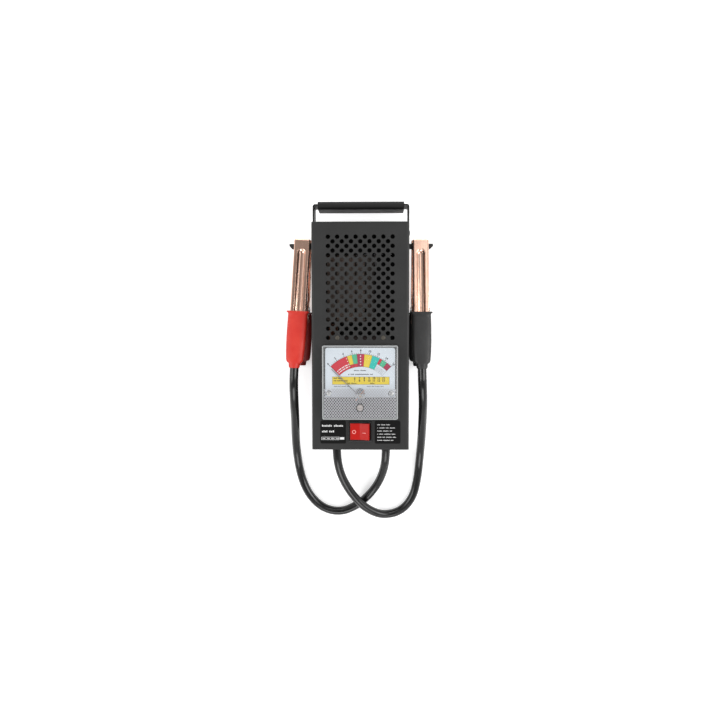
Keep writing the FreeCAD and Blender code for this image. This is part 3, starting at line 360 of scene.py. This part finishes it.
# ---------------------------------------------------------------- leads
# Control points of each lead, from inside its clamp down to the floor and back up to its bush.
LEAD_RADIUS = 0.0056
RED_ROUTE = [(-0.0831, -0.0193, 0.0646), (-0.0845, -0.0503, 0.0716), (-0.0855, -0.082, 0.0612),
             (-0.0874, -0.110, 0.041), (-0.0901, -0.139, 0.0225), (-0.0898, -0.169, 0.009),
             (-0.085, -0.1974, 0.0058), (-0.0741, -0.2224, 0.0057), (-0.055, -0.2411, 0.0057),
             (-0.030, -0.2465, 0.0057), (-0.007, -0.2367, 0.0057), (0.0098, -0.222, 0.0059),
             (0.0224, -0.204, 0.0108), (0.030, -0.182, 0.0244), (0.033, -0.158, 0.039),
             (0.033, -0.130, 0.039)]
BLACK_ROUTE = [(0.0775, -0.0202, 0.0646), (0.0776, -0.0512, 0.0716), (0.0798, -0.082, 0.0618),
               (0.081, -0.110, 0.041), (0.0814, -0.139, 0.022), (0.0802, -0.168, 0.0088),
               (0.0776, -0.198, 0.0058), (0.0712, -0.2253, 0.0057), (0.0544, -0.245, 0.0058),
               (0.0286, -0.2496, 0.0092), (0.0058, -0.2372, 0.0172), (-0.0108, -0.2186, 0.0228),
               (-0.0228, -0.198, 0.029), (-0.0302, -0.177, 0.0356), (-0.033, -0.154, 0.039),
               (-0.033, -0.130, 0.039)]


def lead(colour, route):
    """One limp lead from its bush in the bottom wall to its clamp."""
    curve = bpy.data.curves.new(f"{colour}_cable", "CURVE")
    curve.dimensions = "3D"
    curve.bevel_depth = LEAD_RADIUS
    curve.bevel_resolution = 8
    curve.resolution_u = 12
    curve.use_fill_caps = True
    spline = curve.splines.new("NURBS")
    spline.points.add(len(route) - 1)
    for point, place in zip(spline.points, route):
        point.co = (*place, 1)
    spline.order_u = 3
    spline.use_endpoint_u = True
    cable = bpy.data.objects.new(f"{colour}_cable", curve)
    bpy.context.scene.collection.objects.link(cable)
    wear(cable, FINISHES["lead_sheath"])
    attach(cable, "case")
    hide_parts(f"{colour}_lead")


# ---------------------------------------------------------------- shaped pieces
def piece(name, mesh, finish, slot, body, *replaced):
    """A finished bmesh as a piece that rides on a body and stands for CAD nodes."""
    bmesh.ops.recalc_face_normals(mesh, faces=mesh.faces)
    for face in mesh.faces:
        face.smooth = True
    data = bpy.data.meshes.new(name)
    mesh.to_mesh(data)
    mesh.free()
    data.set_sharp_from_angle(angle=math.radians(40))
    made = bpy.data.objects.new(name, data)
    bpy.context.scene.collection.objects.link(made)
    wear(made, FINISHES[finish])
    if body:
        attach(made, body)
    if replaced:
        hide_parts(*replaced)
    return made


def skin(mesh, rings, closed=True, caps=True):
    """Faces between rings of points; closed rings may have end caps."""
    loops = [[mesh.verts.new(point) for point in ring] for ring in rings]
    count = len(loops[0])
    for first, second in zip(loops, loops[1:]):
        for index in range(count if closed else count - 1):
            after = (index + 1) % count
            mesh.faces.new((first[index], first[after], second[after], second[index]))
    if caps:
        mesh.faces.new(loops[0])
        mesh.faces.new(loops[-1])


def along(stops, y):
    """Value at y between (y, value) stops that are in falling or rising order."""
    ordered = sorted(stops)
    if y <= ordered[0][0]:
        return ordered[0][1]
    for (y0, v0), (y1, v1) in zip(ordered, ordered[1:]):
        if y <= y1:
            return v0 + (v1 - v0) * (y - y0) / (y1 - y0)
    return ordered[-1][1]


def wire(mesh, points, radius, sides=10):
    """A round wire along points, with flat ends."""
    rings = []
    side = None
    for index, point in enumerate(points):
        ahead = (points[min(index + 1, len(points) - 1)] - points[max(index - 1, 0)]).normalized()
        if side is None:
            side = ahead.orthogonal().normalized()
        side = (side - ahead * side.dot(ahead)).normalized()
        other = ahead.cross(side)
        rings.append([point + (side * math.cos(a) + other * math.sin(a)) * radius
                      for a in (2 * math.pi * k / sides for k in range(sides))])
    skin(mesh, rings)


# Clamps, in millimetres in their own frame: x across, y from the pin towards the bite, w out of
# the closing plane.
SHEET = 1.2
JAW_TAIL, BITE_END = -45.0, 91.7
BITE_START, BITE_GAP = 54.0, 0.85
WEB = [(JAW_TAIL, 27.1), (-2.5, 17.5), (BITE_END, 6.0)]
CHEEK_FOOT = [(JAW_TAIL, 20.6), (-16, 13.5), (-9, -4), (8, -4), (16, 6.5), (31, 8), (46, 6.2),
              (BITE_START, BITE_GAP), (BITE_END, BITE_GAP)]
TOOTH_START, TOOTH_END, TOOTH_STEP, TOOTH_DEPTH = 56.5, 87.3, 4.4, 1.4
GROOVE_END, GROOVE_HALF, GROOVE_DEPTH = 78.0, 5.2, 2.5
BITE_CORNER, WEB_BEND = 1.8, 1.7
HALF = {"front": 10.3, "rear": 11.55}
MOUTH, COLLAR_END = -2.5, -74.6
BOOT_HALF = {"front": [(0, 12.3), (-18, 12.7), (-40, 12.5), (-55, 11.8), (-64, 10.9), (-66.8, 10.2),
                       (-68, 9.0), (-68.6, 7.6), (-70, 7.3), (-73, 7.0), (-74.6, 6.5)],
             "rear": [(0, 13.6), (-18, 14.2), (-40, 14.2), (-55, 13.6), (-64, 12.6), (-66.8, 11.8),
                      (-68, 10.2), (-68.6, 8.0), (-70, 7.5), (-73, 7.2), (-74.6, 6.7)]}
BOOT_MIDDLE = [(MOUTH, 14.2), (-68, 27.2), (COLLAR_END, 28.5)]
BOOT_RISE = [(MOUTH, 5.7), (-30, 6.4), (-60, 6.4), (-66.8, 6.2), (-68.6, 6.6), (COLLAR_END, 6.5)]
BOOT_SQUARE = [(-4, 4), (-12, 3), (-55, 2.7), (-66, 3), (-68.8, 2.1), (-75, 2)]
RIM_HALF, RIM_SQUARE = 14.6, 5
LEAD_HOLE = 5.2
SPRING_RADIUS, SPRING_WIRE, SPRING_TURNS, SPRING_PITCH = 5.2, 1.0, 4, 2.3
SPRING_LEG = (22.0, 13.8)


def clamp_frame(colour):
    """From a clamp's own millimetres to the frame."""
    joint = joints[f"{colour}_clamp_open"]
    across = -Vector(joint["axis"]).normalized()
    out = Vector((0, 0, 1))
    turn = Matrix((across, out.cross(across), out)).transposed().to_4x4()
    return Matrix.Translation(Vector(joint["pos_m"])) @ turn @ Matrix.Scale(MM, 4)


def jaw_section(y, half):
    """One side-to-side line over a jaw's outer face: cheek, bend, grooved web, bend, cheek."""
    web = along(WEB, y)
    foot = along(CHEEK_FOOT, y)
    if TOOTH_START < y < TOOTH_END:
        phase = (y - TOOTH_START) / TOOTH_STEP % 1
        foot += TOOTH_DEPTH * (1 - abs(2 * phase - 1))
    if y > BITE_END - BITE_CORNER:
        inset = y - (BITE_END - BITE_CORNER)
        half -= BITE_CORNER - math.sqrt(max(0, BITE_CORNER ** 2 - inset ** 2)) * 0.999
    if y > BITE_END - WEB_BEND:
        drop = y - (BITE_END - WEB_BEND)
        web -= WEB_BEND - math.sqrt(max(0, WEB_BEND ** 2 - drop ** 2))
    bend = min(WEB_BEND, (web - foot) * 0.45)
    flank = [(-half, foot + (web - bend - foot) * k / 4) for k in range(4)]
    flank += [(-half + bend - bend * math.cos(a), web - bend + bend * math.sin(a))
              for a in (math.pi / 2 * k / 5 for k in range(6))]
    flat = half - bend
    face = []
    for k in range(1, 44):
        x = -flat + 2 * flat * k / 44
        away = math.hypot(x, max(0, y - (GROOVE_END - GROOVE_HALF))) / GROOVE_HALF
        depth = GROOVE_DEPTH * (1 - away ** 2.5) ** 0.8 if away < 1 else 0
        face.append((x, web - depth))
    return flank + face + [(-x, w) for x, w in reversed(flank)]


def jaw(colour, side):
    """Pressed channel of copper-plated sheet with a round groove, a curled bite and teeth."""
    mesh = bmesh.new()
    up = 1 if side == "front" else -1
    stations = [JAW_TAIL + 2.5 * k for k in range(40)] + [BITE_START + 1.1 * k for k in range(30)]
    stations += [BITE_END - back for back in (4.4, 3.3, 2.3, 1.7, 1.2, 0.8, 0.5, 0.2, 0)]
    skin(mesh, [[(x, y, up * w) for x, w in jaw_section(y, HALF[side])] for y in stations],
         closed=False, caps=False)
    edge = [vertex for vertex in mesh.verts if abs(vertex.co.y - BITE_END) < 1e-6]
    edge.sort(key=lambda vertex: vertex.co.x)
    foot = [mesh.verts.new((vertex.co.x, BITE_END, up * BITE_GAP)) for vertex in edge]
    least = 0.05
    for (a, b), (c, d) in zip(zip(edge, edge[1:]), zip(foot, foot[1:])):
        if abs(a.co.z - c.co.z) > least or abs(b.co.z - d.co.z) > least:
            mesh.faces.new((a, b, d, c))
    bmesh.ops.remove_doubles(mesh, verts=mesh.verts, dist=0.01)
    mesh.transform(clamp_frame(colour))
    body = "case" if side == "front" else f"{colour}_jaw"
    name = f"{colour}_{side}_jaw"
    made = piece(f"{name}_sheet", mesh, "jaw_copper", "jaw_copper", body, name)
    sheet = made.modifiers.new("sheet", "SOLIDIFY")
    sheet.thickness = SHEET * MM
    sheet.offset = -1
    sheet.use_even_offset = True
    return made


def boot_ring(y, half, rise, square, up):
    """Rounded outline of a sleeve at one place along it; a square of 2 is an ellipse."""
    centre = along(BOOT_MIDDLE, y)
    ring = []
    for k in range(48):
        a = 2 * math.pi * k / 48
        c, s = math.cos(a), math.sin(a)
        ring.append((half * math.copysign(abs(c) ** (2 / square), c), y,
                     up * (centre + rise * math.copysign(abs(s) ** (2 / square), s))))
    return ring


def boot(colour, side):
    """Dipped rubber sleeve: rimmed mouth, full sides and a round collar round the lead."""
    mesh = bmesh.new()
    up = 1 if side == "front" else -1
    rings = []
    for depth, inset in ((3.0, 2.2), (0.4, 2.0), (0.0, 1.4)):
        y = MOUTH - depth
        rings.append(boot_ring(y, along(BOOT_HALF[side], y) - inset, along(BOOT_RISE, y) - inset,
                               RIM_SQUARE, up))
    for depth, inset in ((0.0, 0.4), (0.5, 0.0), (1.2, 0.0), (1.8, 0.6), (2.4, 1.7)):
        y = MOUTH - depth
        rings.append(boot_ring(y, RIM_HALF - inset, along(BOOT_RISE, y) + 0.5, RIM_SQUARE, up))
    stations = [-6 - 4 * k for k in range(14)] + [-61, -64, -66, -67.2, -68, -68.4, -68.8, -70, -72, -73.6]
    for y in stations:
        rings.append(boot_ring(y, along(BOOT_HALF[side], y), along(BOOT_RISE, y), along(BOOT_SQUARE, y), up))
    for radius in (6.4, LEAD_HOLE):
        rings.append(boot_ring(COLLAR_END, radius, radius, 2, up))
    skin(mesh, rings)
    mesh.transform(clamp_frame(colour))
    body = "case" if side == "front" else f"{colour}_jaw"
    name = f"{colour}_{side}_boot"
    # Rear sleeves take the darker copy of their rubber: painted shade, not another rubber.
    shade = "" if side == "front" else "_painted_shade"
    return piece(f"{name}_sleeve", mesh, f"{colour}_rubber{shade}", f"{colour}_rubber", body, name)


def jaw_spring(colour):
    """Torsion spring round the pin."""
    reach = SPRING_TURNS * SPRING_PITCH / 2
    leg_y, leg_w = SPRING_LEG
    points = [Vector((-reach, -leg_y * (1 - k / 6), SPRING_RADIUS + leg_w * (1 - k / 6)))
              for k in range(6)]
    turns = SPRING_TURNS + 0.5
    for k in range(round(turns * 24) + 1):
        a = 2 * math.pi * k / 24
        points.append(Vector((-reach + 2 * reach * k / (turns * 24), math.sin(a) * SPRING_RADIUS,
                              math.cos(a) * SPRING_RADIUS)))
    points += [Vector((reach, -leg_y * k / 6, -SPRING_RADIUS - leg_w * k / 6)) for k in range(1, 7)]
    mesh = bmesh.new()
    wire(mesh, points, SPRING_WIRE)
    place = clamp_frame(colour)
    mesh.transform(place)
    made = piece(f"{colour}_torsion_spring", mesh, "spring_steel", "spring_steel", None,
                 f"{colour}_jaw_spring")
    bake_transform(made)
    return made


for colour in ("red", "black"):
    made = [jaw(colour, "front"), jaw(colour, "rear"), boot(colour, "front"), boot(colour, "rear")]
    jaw_spring(colour)
lead("red", RED_ROUTE)
lead("black", BLACK_ROUTE)


DIAL_SCREW_X = 0.0386


def fastener_heads(name, finish, slot, replaced, places, radius, rise, recess=None):
    """Domed heads, each at a (point, outward) place; a recess is a cross or a slot."""
    fall, skirt = 0.86, 0.0002
    groove_half, groove_depth = radius * 0.13, rise * 0.45
    groove_reach = radius * (0.6 if recess == "cross" else 1.1)
    mesh = bmesh.new()
    for point, outward in places:
        out = Vector(outward)
        side = out.orthogonal().normalized()
        other = out.cross(side)

        def at(r, a, height):
            """The point at a radius, angle and height over the seat."""
            return Vector(point) + (side * math.cos(a) + other * math.sin(a)) * r + out * height

        def height(r, a):
            """The dome's height, less the recess."""
            dome = rise * math.sqrt(max(0.0, 1 - (r / radius) ** 2 * fall))
            x, y = abs(r * math.cos(a)), abs(r * math.sin(a))
            within = x < groove_half or (recess == "cross" and y < groove_half)
            return dome - groove_depth if recess and within and max(x, y) < groove_reach else dome

        angles = [2 * math.pi * k / 72 for k in range(72)]
        rings = [[at(radius * k / 16, a, height(radius * k / 16, a)) for a in angles]
                 for k in range(1, 17)]
        rings.append([at(radius, a, -skirt) for a in angles])
        skin(mesh, rings)
    return piece(name, mesh, finish, slot, "case", replaced)


def fasteners():
    """Screw and rivet heads on the case, on the strap and inside the meter."""
    side, face = high("front_cover").x, high("front_cover").z
    strap, strap_middle = high("handle_strap").x, middle("handle_strap").z
    shield_y, dial_y = middle("heat_shield_rivets").y, middle("dial_screws").y
    ends = (-1, 1)
    screw_rows, screw_height = (-0.116, 0.004, 0.122), 0.007
    handle_y, handle_half_gap = 0.134, 0.006
    hanger_rows, hanger_height = (0.1085, 0.1185), 0.051
    shield_x = 0.0285
    fastener_heads("cover_screw_heads", "black_screw", "black_screw", "cover_screws",
                   [((e * side, y, screw_height), (e, 0, 0)) for e in ends for y in screw_rows],
                   0.0031, 0.0019, "cross")
    fastener_heads("handle_rivet_heads", "black_screw", "black_screw", "handle_rivets",
                   [((e * strap, handle_y, strap_middle + d * handle_half_gap), (e, 0, 0))
                    for e in ends for d in ends], 0.0034, 0.0014)
    fastener_heads("hanger_rivet_heads", "black_screw", "black_screw", "hanger_rivets",
                   [((e * side, y, hanger_height), (e, 0, 0)) for e in ends for y in hanger_rows],
                   0.003, 0.0013)
    fastener_heads("shield_rivet_heads", "shield_rivet", "bright_rivet", "heat_shield_rivets",
                   [((e * shield_x, shield_y, face), (0, 0, 1)) for e in ends], 0.0028, 0.0009)
    fastener_heads("dial_screw_heads", "bright_rivet", "bright_rivet", "dial_screws",
                   [((e * DIAL_SCREW_X, dial_y, high("dial_plate").z), (0, 0, 1)) for e in ends],
                   0.003, 0.0012, "slot")


fasteners()


def lens_ribs_painted_highlight():
    """Fine crossed ribs moulded under the lower half of the clear front."""
    wall = 0.002
    left, right = low("meter_cover").x + wall, high("meter_cover").x - wall
    bottom, top = low("meter_cover").y + wall, -0.0637
    under = high("meter_cover").z - wall
    adjuster_clear, screw_clear = 0.0046, 0.0036
    gaps = [(middle("zero_adjuster").xy, adjuster_clear)]
    gaps += [(Vector((sign * DIAL_SCREW_X, middle("dial_screws").y)), screw_clear) for sign in (-1, 1)]
    step, slope = 0.0033, 1.2
    half, depth, shortest = 0.00036, 0.0009, 0.001
    lean = (top - bottom) / slope
    steps = 60
    mesh = bmesh.new()
    for way in (-1, 1):
        run = Vector((1, way * slope, 0)).normalized()
        across = Vector((-run.y, run.x, 0))
        length = (top - bottom) / abs(run.y)
        for number in range(int((right - left + 2 * lean) / step)):
            foot = Vector((left - lean + number * step, bottom if way > 0 else top, under))
            spans = []
            for k in range(steps + 1):
                point = foot + run * (length * k / steps)
                free = left < point.x < right
                free = free and all((point.xy - centre).length > clear for centre, clear in gaps)
                if free and spans and spans[-1][2] == k - 1:
                    spans[-1][1:] = [point, k]
                elif free:
                    spans.append([point, point, k])
            for first, last, _ in spans:
                if (last - first).length > shortest:
                    skin(mesh, [[end - across * half, end + across * half, end + Vector((0, 0, -depth))]
                                for end in (first, last)])
    # The ribs wear the pale rib finish, a painted highlight.
    return piece("lens_ribs_painted_highlight", mesh, "lens_ribs_painted_highlight", "meter_clear", "case")


lens_ribs_painted_highlight()


# ---------------------------------------------------------------- printed marks
INK = 0.00006
BLOCKS = (1.0, 0.72, 0.72, 0.9, 0.72, 1.0, 0.75)


class Print:
    """Thin raised ink on a flat face that looks along +Z, as one mesh of several colours."""

    def __init__(self, surface, centre=(0, 0)):
        self.mesh = bmesh.new()
        self.surface = surface
        self.centre = centre
        self.used = []

    def ink(self, colour):
        """The material index of a colour, which is added when it is new."""
        if colour not in self.used:
            self.used.append(colour)
        return self.used.index(colour)

    def slab(self, rings, colour, layer=0):
        """Cells between two rows of points, closed all round; the rows are (inner, outer) pairs."""
        index = self.ink(colour)
        levels = (self.surface - INK / 2, self.surface + INK * (1 + layer))
        grid = [[[self.mesh.verts.new((self.centre[0] + x, self.centre[1] + y, z)) for z in levels]
                 for x, y in pair] for pair in rings]

        def face(*corners):
            self.mesh.faces.new(corners).material_index = index

        for (a, b), (c, d) in zip(grid, grid[1:]):
            face(a[1], b[1], d[1], c[1])
            face(c[0], d[0], b[0], a[0])
            face(a[0], a[1], c[1], c[0])
            face(b[1], b[0], d[0], d[1])
        for pair, turn in ((grid[0], 1), (grid[-1], -1)):
            face(*[pair[0][0], pair[1][0], pair[1][1], pair[0][1]][::turn])

    def bar(self, x, y, width, height, colour, layer=0):
        """A rectangle by its centre and size."""
        w, h = width / 2, height / 2
        self.slab([((x - w, y - h), (x - w, y + h)), ((x + w, y - h), (x + w, y + h))], colour, layer)

    def arc(self, start, end, inner, outer, colour, layer=0):
        """A stretch of a ring between two angles from +Y, clockwise, in degrees."""
        count = max(2, round(abs(end - start) / 2) + 1)
        rows = []
        for number in range(count):
            angle = math.radians(start + (end - start) * number / (count - 1))
            way = (math.sin(angle), math.cos(angle))
            rows.append(tuple((way[0] * r, way[1] * r) for r in (inner, outer)))
        self.slab(rows, colour, layer)

    def tick(self, angle, inner, outer, width, colour, layer=0):
        """A straight radial mark."""
        a = math.radians(angle)
        way, across = Vector((math.sin(a), math.cos(a))), Vector((math.cos(a), -math.sin(a))) * width / 2
        self.slab([tuple(tuple(way * r + side) for r in (inner, outer)) for side in (-across, across)],
                  colour, layer)

    def frame(self, x, y, width, height, line, colour, layer=0):
        """An outlined rectangle."""
        for sign in (-1, 1):
            self.bar(x, y + sign * (height - line) / 2, width, line, colour, layer)
            self.bar(x + sign * (width - line) / 2, y, line, height - 2 * line, colour, layer)

    def number(self, text, x, y, size, colour, turn=0.0, layer=0):
        """Digits, centred on a point and turned clockwise."""
        curve = bpy.data.curves.new("digits", "FONT")
        curve.body = text
        curve.size = size
        curve.align_x, curve.align_y = "CENTER", "CENTER"
        curve.extrude = INK / 2
        curve.offset = size * 0.035
        curve.resolution_u = 2
        thing = bpy.data.objects.new("digits", curve)
        bpy.context.scene.collection.objects.link(thing)
        shape = bpy.data.meshes.new_from_object(thing.evaluated_get(bpy.context.evaluated_depsgraph_get()))
        bpy.data.objects.remove(thing)
        place = Vector((self.centre[0] + x, self.centre[1] + y, self.surface + INK * (0.5 + layer)))
        shape.transform(Matrix.Translation(place) @ Matrix.Rotation(-math.radians(turn), 4, "Z"))
        before = len(self.mesh.faces)
        self.mesh.from_mesh(shape)
        self.mesh.faces.ensure_lookup_table()
        for face in self.mesh.faces[before:]:
            face.material_index = self.ink(colour)
        bpy.data.meshes.remove(shape)

    def dashes(self, x, y, widths, height, gap, colour, layer=0):
        """Groups of small blocks from a left end: stand in for a line of words."""
        for width in widths:
            count = max(1, round(width / (0.8 * height)))
            step = width / count
            for number in range(count):
                tall = height * BLOCKS[(number + count) % len(BLOCKS)]
                middle_x, middle_y = x + step * (number + 0.4), y - (height - tall) / 2
                self.bar(middle_x, middle_y, step * 0.7, tall, colour, layer)
            x += width + gap

    def finish(self, name, slot, body="case", turned=None):
        """The marks as one piece on a body, moved there by a matrix where the face is turned."""
        mesh = bpy.data.meshes.new(name)
        bmesh.ops.recalc_face_normals(self.mesh, faces=self.mesh.faces)
        if turned:
            self.mesh.transform(turned)
        self.mesh.to_mesh(mesh)
        self.mesh.free()
        for colour in self.used:
            mesh.materials.append(INKS[colour].material)
        made = bpy.data.objects.new(name, mesh)
        bpy.context.scene.collection.objects.link(made)
        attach(made, body)
        return made


pivot = Vector(joints["pointer_sweep"]["pos_m"])
BAND_OUTER, BAND_INNER = 0.0527, 0.0371
BAND_STEP = 0.0411
BAND_MIDDLE = 0.0450
LINE = 0.00025
FIGURE = 0.0036


def dial_scale():
    """Coloured sectors, ticks, numbers and a yellow table, without words, and a painted shadow arc beside each
    dial screw.
    """
    ink = Print(high("dial_plate").z, (pivot.x + 0.0008, pivot.y))
    for start, end, inner, outer, colour in (
            (-45, -19, BAND_INNER, BAND_OUTER, "red"),
            (-19, -12.3, BAND_STEP, BAND_OUTER, "yellow"),
            (-12.3, -5.3, BAND_STEP, BAND_OUTER, "green"),
            (-19, -5.3, BAND_INNER, BAND_STEP, "red"),
            (-5.3, 2.6, BAND_INNER, BAND_OUTER, "crimson"),
            (2.6, 5, BAND_INNER, BAND_OUTER, "red"),
            (5, 15.8, BAND_INNER, BAND_OUTER, "yellow"),
            (15.8, 26.3, BAND_INNER, BAND_OUTER, "turquoise"),
            (26.3, 30, BAND_MIDDLE, BAND_OUTER, "red"),
            (30, 37.5, BAND_MIDDLE, BAND_OUTER, "green"),
            (37.5, 45, BAND_MIDDLE, BAND_OUTER, "crimson")):
        ink.arc(start, end, inner, outer, colour)
    for start, end, radius in ((-45, 45, BAND_OUTER), (-45, 45, BAND_INNER), (-19, -5.3, BAND_STEP),
                               (26.3, 45, BAND_MIDDLE)):
        ink.arc(start, end, radius - LINE / 2, radius + LINE / 2, "black", 1)
    for angle in (-45, -19, -12.3, -5.3, 5, 15.8, 26.3, 45):
        ink.tick(angle, BAND_INNER, BAND_OUTER, LINE, "black", 1)
    for angle in (30, 37.5):
        ink.tick(angle, BAND_MIDDLE, BAND_OUTER, LINE, "black", 1)
    for number, angle in enumerate(range(-42, -20, 3)):
        for radius in (0.0392, 0.0418):
            ink.tick(angle + 0.6 * (number % 2), radius, radius + 0.0011, 0.0016, "white", 1)
    for radius in (0.039, 0.0425, 0.046, 0.0495):
        ink.tick(-0.3, radius, radius + 0.0014, 0.0012, "white", 1)
        ink.tick(-20.5, radius, radius + 0.0009, 0.0009, "white", 1)
    for radius in (0.0385, 0.0403, 0.0421):
        ink.arc(28, 43, radius, radius + LINE, "grey", 1)
    for step in range(33):
        angle = -45 + step * 90 / 32
        major = step % 4 == 0
        ink.tick(angle, BAND_OUTER + 0.0005, BAND_OUTER + (0.0024 if major else 0.0015),
                 0.0007 if major else 0.0004, "black", 1)
        if major:
            way = math.radians(angle)
            reach = BAND_OUTER + 0.0042
            x, y = math.sin(way) * reach, math.cos(way) * reach
            ink.number(str(step // 2), x, y, FIGURE, "black", angle)
    ink.dashes(-0.0085, 0.0325, (0.0068, 0.0071), 0.0015, 0.0012, "black")
    ink.dashes(-0.0155, 0.0277, (0.0018, 0.0042, 0.0175, 0.0035), 0.0015, 0.0012, "black")
    table = (0.0, 0.0198, 0.0706, 0.0098)
    ink.bar(*table, "yellow")
    ink.frame(*table, 0.0003, "grey", 1)
    for row, y in enumerate((0.0228, 0.0198)):
        ink.dashes(-0.0335, y, ((0.0042, 0.0058), (0.0035, 0.0128))[row], 0.0016, 0.001, "black", 1)
        for column in range(7):
            ink.number(str(6 + column + row), -0.0075 + column * 0.0059, y, FIGURE, "black", layer=1)
    for x, widths in ((-0.0165, (0.0035, 0.0068)), (0.0115, (0.0055,))):
        ink.dashes(x, 0.0167, widths, 0.0014, 0.001, "black", 1)
    for x, widths in ((-0.033, (0.0045, 0.003, 0.006, 0.0035)), (0.0075, (0.005, 0.0035, 0.0058, 0.0042))):
        ink.dashes(x, 0.0128, widths, 0.0011, 0.0008, "grey")
    ink.finish("dial_scale", "dial_print")
    # Black arc beside each dial screw: painted shadow that the domed head would cast on the card.
    for sign in (-1, 1):
        ring = Print(high("dial_plate").z, (sign * DIAL_SCREW_X, middle("dial_screws").y))
        ring.arc(-120, 70, 0.0031, 0.0039, "black")
        ring.finish(f"dial_screw_painted_shadow_{'left' if sign < 0 else 'right'}", "dial_print")


def label_prints():
    """Rows of blocks on the two black labels, in place of words."""
    x, y = middle("left_label").x, middle("left_label").y
    left = Print(high("left_label").z, (x, y))
    left.dashes(-0.0140, 0.0080, (0.0128, 0.0118), 0.0024, 0.0022, "white")
    left.dashes(-0.0140, 0.0008, (0.0072, 0.0066), 0.0024, 0.0018, "white")
    left.frame(-0.0035, -0.0080, 0.0225, 0.0036, 0.0004, "white")
    left.dashes(-0.0133, -0.0080, (0.0038, 0.0038, 0.0042, 0.0038), 0.0012, 0.0016, "white")
    left.bar(0.0112, -0.0080, 0.0052, 0.0030, "white")
    left.finish("left_label_marks", "label_film")
    x, y = middle("right_label").x, middle("right_label").y
    right = Print(high("right_label").z, (x, y))
    rows = ((0.0036, 0.0052, 0.0048), (0.0012, 0.0068, 0.0040, 0.0062), (0.0058, 0.0072, 0.0030),
            (0.0012, 0.0050, 0.0078, 0.0046), (0.0052, 0.0030, 0.0072, 0.0042), (0.0064, 0.0078, 0.0034))
    for number, widths in enumerate(rows):
        right.dashes(-0.0128, 0.0093 - number * 0.0039, widths, 0.0011, 0.0013, "white")
    right.finish("right_label_marks", "label_film")


def rocker_marks():
    """Ring on the pressed-down half of the rocker and a dash on the raised half."""
    axis = Vector(joints["rocker_press"]["pos_m"])
    crest = Matrix.Translation(axis + Vector((-0.00067, 0, 0.00425)))
    rest_tilt, face_slope = 9.0, 8.06
    for name, angle in (("ring", face_slope - rest_tilt), ("dash", -face_slope - rest_tilt)):
        mark = Print(0)
        if name == "ring":
            mark.centre = (-0.0071, -0.0004)
            mark.arc(0, 360, 0.0017, 0.0024, "pink")
        else:
            mark.bar(0.0058, -0.0016, 0.0044, 0.0006, "pink")
        tilt = Matrix.Rotation(math.radians(angle), 4, "Y")
        mark.finish(f"rocker_{name}", "rocker_red", "rocker", crest @ tilt)


dial_scale()
label_prints()
rocker_marks()


# ---------------------------------------------------------------- studio
def studio():
    """Pale floor, soft boxes and a bright surround."""
    shape = bpy.data.meshes.new("floor")
    reach = 4.0
    shape.from_pydata([(-reach, -reach, 0), (reach, -reach, 0), (reach, reach, 0), (-reach, reach, 0)],
                      [], [(0, 1, 2, 3)])
    floor = bpy.data.objects.new("floor", shape)
    bpy.context.scene.collection.objects.link(floor)
    wear(floor, lit_paper())
    for name, place, width, length, power in (
            ("right_box", (1.15, 0.1, 1.25), 0.8, 1.2, 13),
            ("left_box", (-1.2, 0.0, 1.25), 0.8, 1.2, 9),
            ("clamp_strip", (0.3, 0.68, 1.5), 0.26, 0.5, 0.62),
            ("top_strip", (0.1, -0.18, 1.5), 0.12, 0.5, 0.45),
            ("front_box", (0.0, -1.25, 1.2), 1.2, 0.7, 9),
            ("back_box", (-0.1, 1.45, 1.1), 1.2, 0.7, 7)):
        light = bpy.data.lights.new(name, "AREA")
        light.shape = "RECTANGLE"
        light.size = width
        light.size_y = length
        light.energy = power
        lamp = bpy.data.objects.new(name, light)
        lamp.location = place
        lamp.rotation_mode = "QUATERNION"
        lamp.rotation_quaternion = (-Vector(place)).to_track_quat("-Z", "Y")
        bpy.context.scene.collection.objects.link(lamp)
    world = bpy.data.worlds.new("surround")
    world.use_nodes = True
    tree = world.node_tree
    way = tree.nodes.new("ShaderNodeTexCoord").outputs["Generated"]
    split = tree.nodes.new("ShaderNodeSeparateXYZ")
    band = tree.nodes.new("ShaderNodeValToRGB")
    tree.links.new(way, split.inputs[0])
    tree.links.new(split.outputs["Z"], band.inputs["Fac"])
    tree.links.new(band.outputs["Color"], tree.nodes["Background"].inputs["Color"])
    levels = ((0.0, 1.1), (0.25, 0.95), (0.5, 0.8), (0.85, 0.38), (0.95, 0.26), (0.99, 0.05))
    while len(band.color_ramp.elements) < len(levels):
        band.color_ramp.elements.new(0.5)
    for element, (position, level) in zip(band.color_ramp.elements, levels):
        element.position = position
        element.color = grey(level)
    tree.nodes["Background"].inputs["Strength"].default_value = 0.9
    bpy.context.scene.world = world
    bpy.context.scene.view_settings.view_transform = "Standard"


def camera():
    """The view down on the panel, from a little to its right."""
    place = Vector((0.020, 0.0, 0.6973))
    yaw, pitch = math.radians(-0.8), math.radians(-2.3)
    ahead = Vector((math.tan(yaw), math.tan(pitch), -1)).normalized()
    right = ahead.cross(Vector((0, 1, 0))).normalized()
    above = right.cross(ahead)
    eye = bpy.data.cameras.new("eye")
    eye.sensor_width = 36
    eye.lens = 24.94
    eye.shift_x = -0.0131
    eye.shift_y = -0.0047
    eye.clip_start = 0.01
    holder = bpy.data.objects.new("eye", eye)
    holder.matrix_world = Matrix.Translation(place) @ Matrix((right, above, -ahead)).transposed().to_4x4()
    bpy.context.scene.collection.objects.link(holder)
    bpy.context.scene.camera = holder


studio()
camera()
